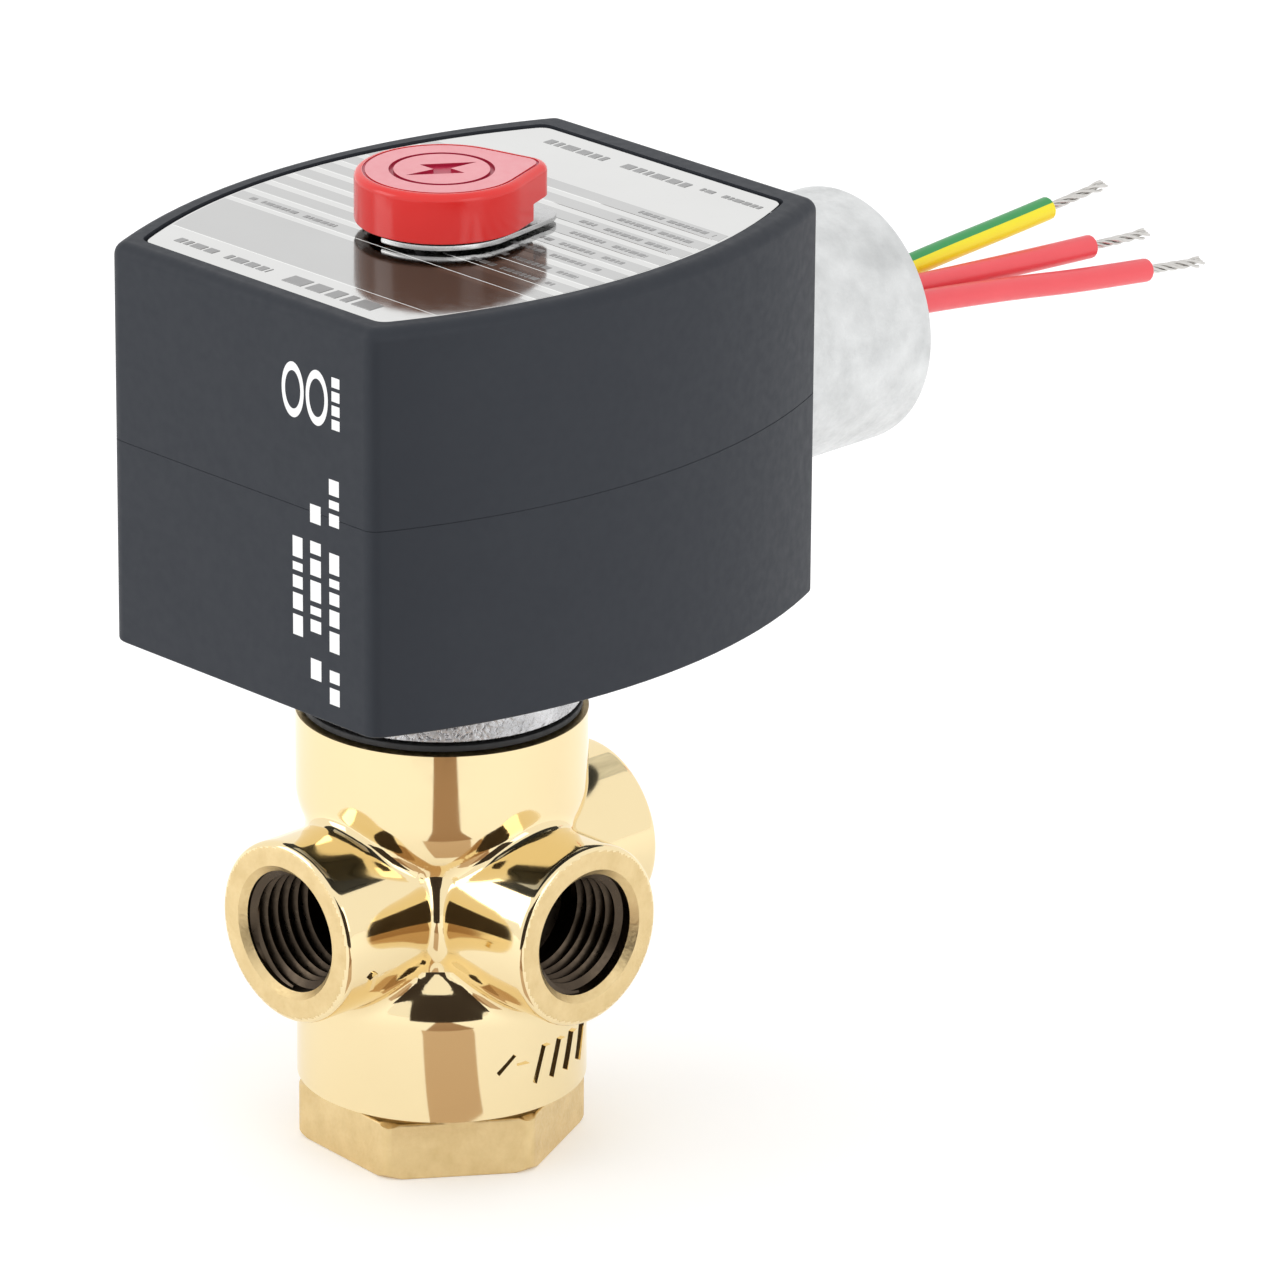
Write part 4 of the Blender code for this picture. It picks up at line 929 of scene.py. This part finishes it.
seal = spun(eased([(0, SEAL_Y), (SEAL_RADIUS, SEAL_Y, 0.5), (SEAL_RADIUS, 30.3, 0.3), (0, 30.3)], 0))
grommet = linked("lead_grommet", aimed(seal, HUB_AXIS, HUB_CENTRE))
done(grommet, "solenoid", rubber, "lead_seal", slot="black_rubber")


# ---------------------------------------------------------------- nameplate
# A thin aluminium label let into the housing's top, bright enough to mirror the cap, with grey bands
# and rows of plain dashes printed on it.

aluminium = textured("label_metal", (0.71, 0.71, 0.70), (0.67, 0.67, 0.66), 1, (0.06, 0.1), 700, 0.01)
grey_print = textured("label_grey", (0.54, 0.54, 0.535), (0.50, 0.50, 0.495), 1, (0.07, 0.12), 700, 0.01)
dark_print = textured("label_dark", (0.32, 0.32, 0.32), (0.27, 0.27, 0.27), 0.8, (0.28, 0.34), 700, 0.02)
LABEL_TOP = 101.2
label_shape = nameplate_shape(0, 100.7, LABEL_TOP)
soften(label_shape, level_edges(label_shape, LABEL_TOP), 0.12, 2)
stud_hole = spun([(0, 100), (5.1, 100), (5.1, 102), (0, 102)])
label = worked(linked("label_plate", label_shape), ("DIFFERENCE", stud_hole))
done(label, "solenoid", aluminium, "nameplate", slot="label")
BAND_START, BAND_STEP, BAND_WIDTH = -8.6, 3.3, 2.1
bands = [box((-30, -19.4, LABEL_TOP - 0.1), (30, -9.6, LABEL_TOP + 0.02))]
for i in range(9):
    low = BAND_START + BAND_STEP * i
    bands.append(box((-30, low, LABEL_TOP - 0.1), (30, low + BAND_WIDTH, LABEL_TOP + 0.02)))
bands = worked(
    linked("label_bands", gathered(bands)),
    ("INTERSECT", nameplate_shape(-0.3, 100, 102)),
    ("DIFFERENCE", spun([(0, 100), (5.4, 100), (5.4, 102), (0, 102)])),
)
done(bands, "solenoid", grey_print)


def dashes(rows, low, high):
    """Rows of plain dashes. A row is (first x, last x, y, height, seed)."""
    shapes = []
    for first, last, y, tall, seed in rows:
        x, step = first, 0
        while x < last:
            long = tall * (0.5 + 0.3 * ((step * 7 + seed * 5) % 4))
            if (step * 5 + seed) % 7:
                shapes.append(box((x, y - tall / 2, low), (min(x + long, last), y + tall / 2, high)))
            x += long + tall * 0.35
            step += 1
    return gathered(shapes)


rows = [(-16, -2, -22.2, 1.2, 1), (1, 17, -22.3, 2.0, 3)]
rows += [(-21, -8, -7.55, 0.7, 2), (9, 20, 28.9, 0.8, 4), (-14, 8, 28.6, 1.3, 5)]
rows += [(8 + i % 3, 21, -7.5 + BAND_STEP * i, 0.7, i) for i in range(1, 9)]
done(linked("label_print", dashes(rows, LABEL_TOP - 0.05, LABEL_TOP + 0.04)), "solenoid", dark_print)


# ---------------------------------------------------------------- retaining clip
# A horseshoe of spring steel in the stud's groove. Its tongue shows under the cap's corner, to pull it
# by.

CAP_TURN = math.radians(62)


def teardrop(big, small, reach, count=64):
    """The outline round a large disc at the origin and a small one that makes its corner."""
    away = reach - small
    lean = math.acos((big - small) / away)
    points = []
    for i in range(count + 1):
        angle = CAP_TURN + lean + (2 * math.pi - 2 * lean) * i / count
        points.append((big * math.cos(angle), big * math.sin(angle)))
    for i in range(17):
        angle = CAP_TURN - lean + 2 * lean * i / 16
        x, y = away * math.cos(CAP_TURN), away * math.sin(CAP_TURN)
        points.append((x + small * math.cos(angle), y + small * math.sin(angle)))
    return points


CLIP_BOTTOM, CLIP_TOP = 101.5, 102.1
clip_shape = slab(teardrop(8.4, 2.6, 12.2), CLIP_BOTTOM, CLIP_TOP)
soften(clip_shape, level_edges(clip_shape, CLIP_BOTTOM) + level_edges(clip_shape, CLIP_TOP), 0.15, 2)
mouth = box((-17, -3.8, 101), (0, 3.8, 103))
bmesh.ops.rotate(mouth, cent=(0, 0, 0), matrix=Matrix.Rotation(CAP_TURN, 3, "Z"), verts=mouth.verts)
clip = worked(
    linked("spring_clip", clip_shape),
    ("DIFFERENCE", spun([(0, 101), (3.8, 101), (3.8, 103), (0, 103)])),
    ("DIFFERENCE", mouth),
)
done(clip, "clip", steel, "retaining_clip", slot="stainless")


# ---------------------------------------------------------------- retaining cap
# A red polycarbonate cap pushed over the stud. It is hollow below, its corner is undercut for a
# screwdriver, and a plain flash in a ring is sunk into its top.


def painted_reflection_colour(finish, colour):
    """Paints a material another colour only where another piece mirrors it: a painted reflection."""
    nodes, links = finish.node_tree.nodes, finish.node_tree.links
    base_colour = nodes["Principled BSDF"].inputs["Base Color"]
    mix = nodes.new("ShaderNodeMix")
    mix.data_type = "RGBA"
    mix.inputs["B"].default_value = (*colour, 1)
    links.new(base_colour.links[0].from_socket, mix.inputs["A"])
    links.new(nodes.new("ShaderNodeLightPath").outputs["Is Glossy Ray"], mix.inputs["Factor"])
    links.new(mix.outputs["Result"], base_colour)


red = textured("red_plastic", (0.72, 0.022, 0.018), (0.66, 0.018, 0.015), 0, (0.16, 0.22), 500, 0.04)
# The cap shows dark brown where the nameplate mirrors it: a painted reflection colour, not the cap's own.
painted_reflection_colour(red, (0.13, 0.05, 0.025))
CAP_BOTTOM, CAP_TOP = 102.4, 107.7
cap_shape = slab(teardrop(9.1, 2.6, 11.2), CAP_BOTTOM, CAP_TOP)
soften(cap_shape, level_edges(cap_shape, CAP_TOP), 0.8, 5)
soften(cap_shape, level_edges(cap_shape, CAP_BOTTOM), 0.2, 2)
cap = linked("push_cap", cap_shape)
hollow = spun([(7.7, 106.2), (7.7, 101), (6, 101), (6, 106.2)])
socket = spun([(0, 106.2), (4.6, 106.2), (4.6, 101), (0, 101)])
notch = box((8.8, -9.1, 101), (22, 9.1, 104.3))
bmesh.ops.rotate(notch, cent=(0, 0, 0), matrix=Matrix.Rotation(CAP_TURN, 3, "Z"), verts=notch.verts)
ring_mark = spun([(5.0, CAP_TOP - 0.3), (5.5, CAP_TOP - 0.3), (5.5, 109), (5.0, 109)])
FLASH = [(0.8, 4.2), (-2.6, -0.7), (-0.5, -0.7), (-1.0, -4.2), (2.6, 0.8), (0.5, 0.8)]
flash = slab(FLASH, CAP_TOP - 0.3, 109)
border = worked(
    linked("border", slab(teardrop(8.25, 2.0, 10.35), CAP_TOP - 0.12, 109)),
    ("DIFFERENCE", slab(teardrop(7.95, 1.7, 10.05), CAP_TOP - 1, 110)),
)
worked(cap, ("DIFFERENCE", hollow), ("DIFFERENCE", socket), ("DIFFERENCE", notch))
worked(cap, ("DIFFERENCE", ring_mark), ("DIFFERENCE", flash), ("DIFFERENCE", border))
done(cap, "cap", red, "retaining_cap", slot="red_plastic", sharp=40)
# The flat top is painted a pale pink: painted sheen of the sky on it. Its frosted grain is real and shows in
# the rougher finish.
frosted_sheen = textured("frosted_sheen_red", (0.76, 0.30, 0.33), (0.70, 0.24, 0.27), 0, (0.3, 0.45), 900, 0.1)
# The sunk ring, flash and border are painted a darker red: painted shade in these shallow marks.
sunk = textured("sunk_shade_red", (0.42, 0.009, 0.047), (0.37, 0.007, 0.04), 0, (0.32, 0.38), 900, 0.05)
cap.data.materials.append(frosted_sheen)
cap.data.materials.append(sunk)
FROSTED_SHEEN_FACES, SUNK_SHADE_FACES = 1, 2
for face in cap.data.polygons:
    level = face.center.z / MM
    if face.normal.z > 0.999 and level > CAP_TOP - 0.01:
        face.material_index = FROSTED_SHEEN_FACES
    # Faces of the sunk marks take the darker red of painted shade.
    elif level > CAP_TOP - 0.4 and max(abs(face.normal.x), abs(face.normal.y), face.normal.z) > 0.5:
        if level < CAP_TOP - 0.05 and (face.normal.z > 0.999 or math.hypot(*face.center.xy) < 7 * MM):
            face.material_index = SUNK_SHADE_FACES


# ---------------------------------------------------------------- inner pieces
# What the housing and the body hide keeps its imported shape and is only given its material: stainless
# core and tube, copper winding, nylon bobbin, rubber discs and springs.

copper = textured("copper", (0.72, 0.33, 0.18), (0.6, 0.25, 0.12), 1, (0.25, 0.4), 900, 0.2)
nylon = textured("nylon", (0.62, 0.6, 0.54), (0.55, 0.53, 0.47), 0, (0.45, 0.6), 500, 0.1)
tape = textured("coil_tape", (0.7, 0.52, 0.1), (0.62, 0.45, 0.07), 0, (0.35, 0.5), 300, 0.1)
INSIDE = {
    steel: ("core_tube", "core", "disc_spring", "push_pin", "yoke_strap", "lower_sleeve", "upper_sleeve"),
    copper: ("shading_ring", "winding"),
    nylon: ("core_guide", "bobbin"),
    rubber: ("end_cap_gasket", "core_disc", "lower_disc"),
    machined: ("disc_holder", "ground_terminal"),
    tape: ("winding_tape",),
    zinc_plate: ("ground_screw",),
    pvc_yellow: ("tail_ground",),
    pvc_red: ("tail_coil_1", "tail_coil_2"),
}
for finish, names in INSIDE.items():
    for name in names:
        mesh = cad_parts[name].data
        mesh.materials.clear()
        mesh.materials.append(finish)
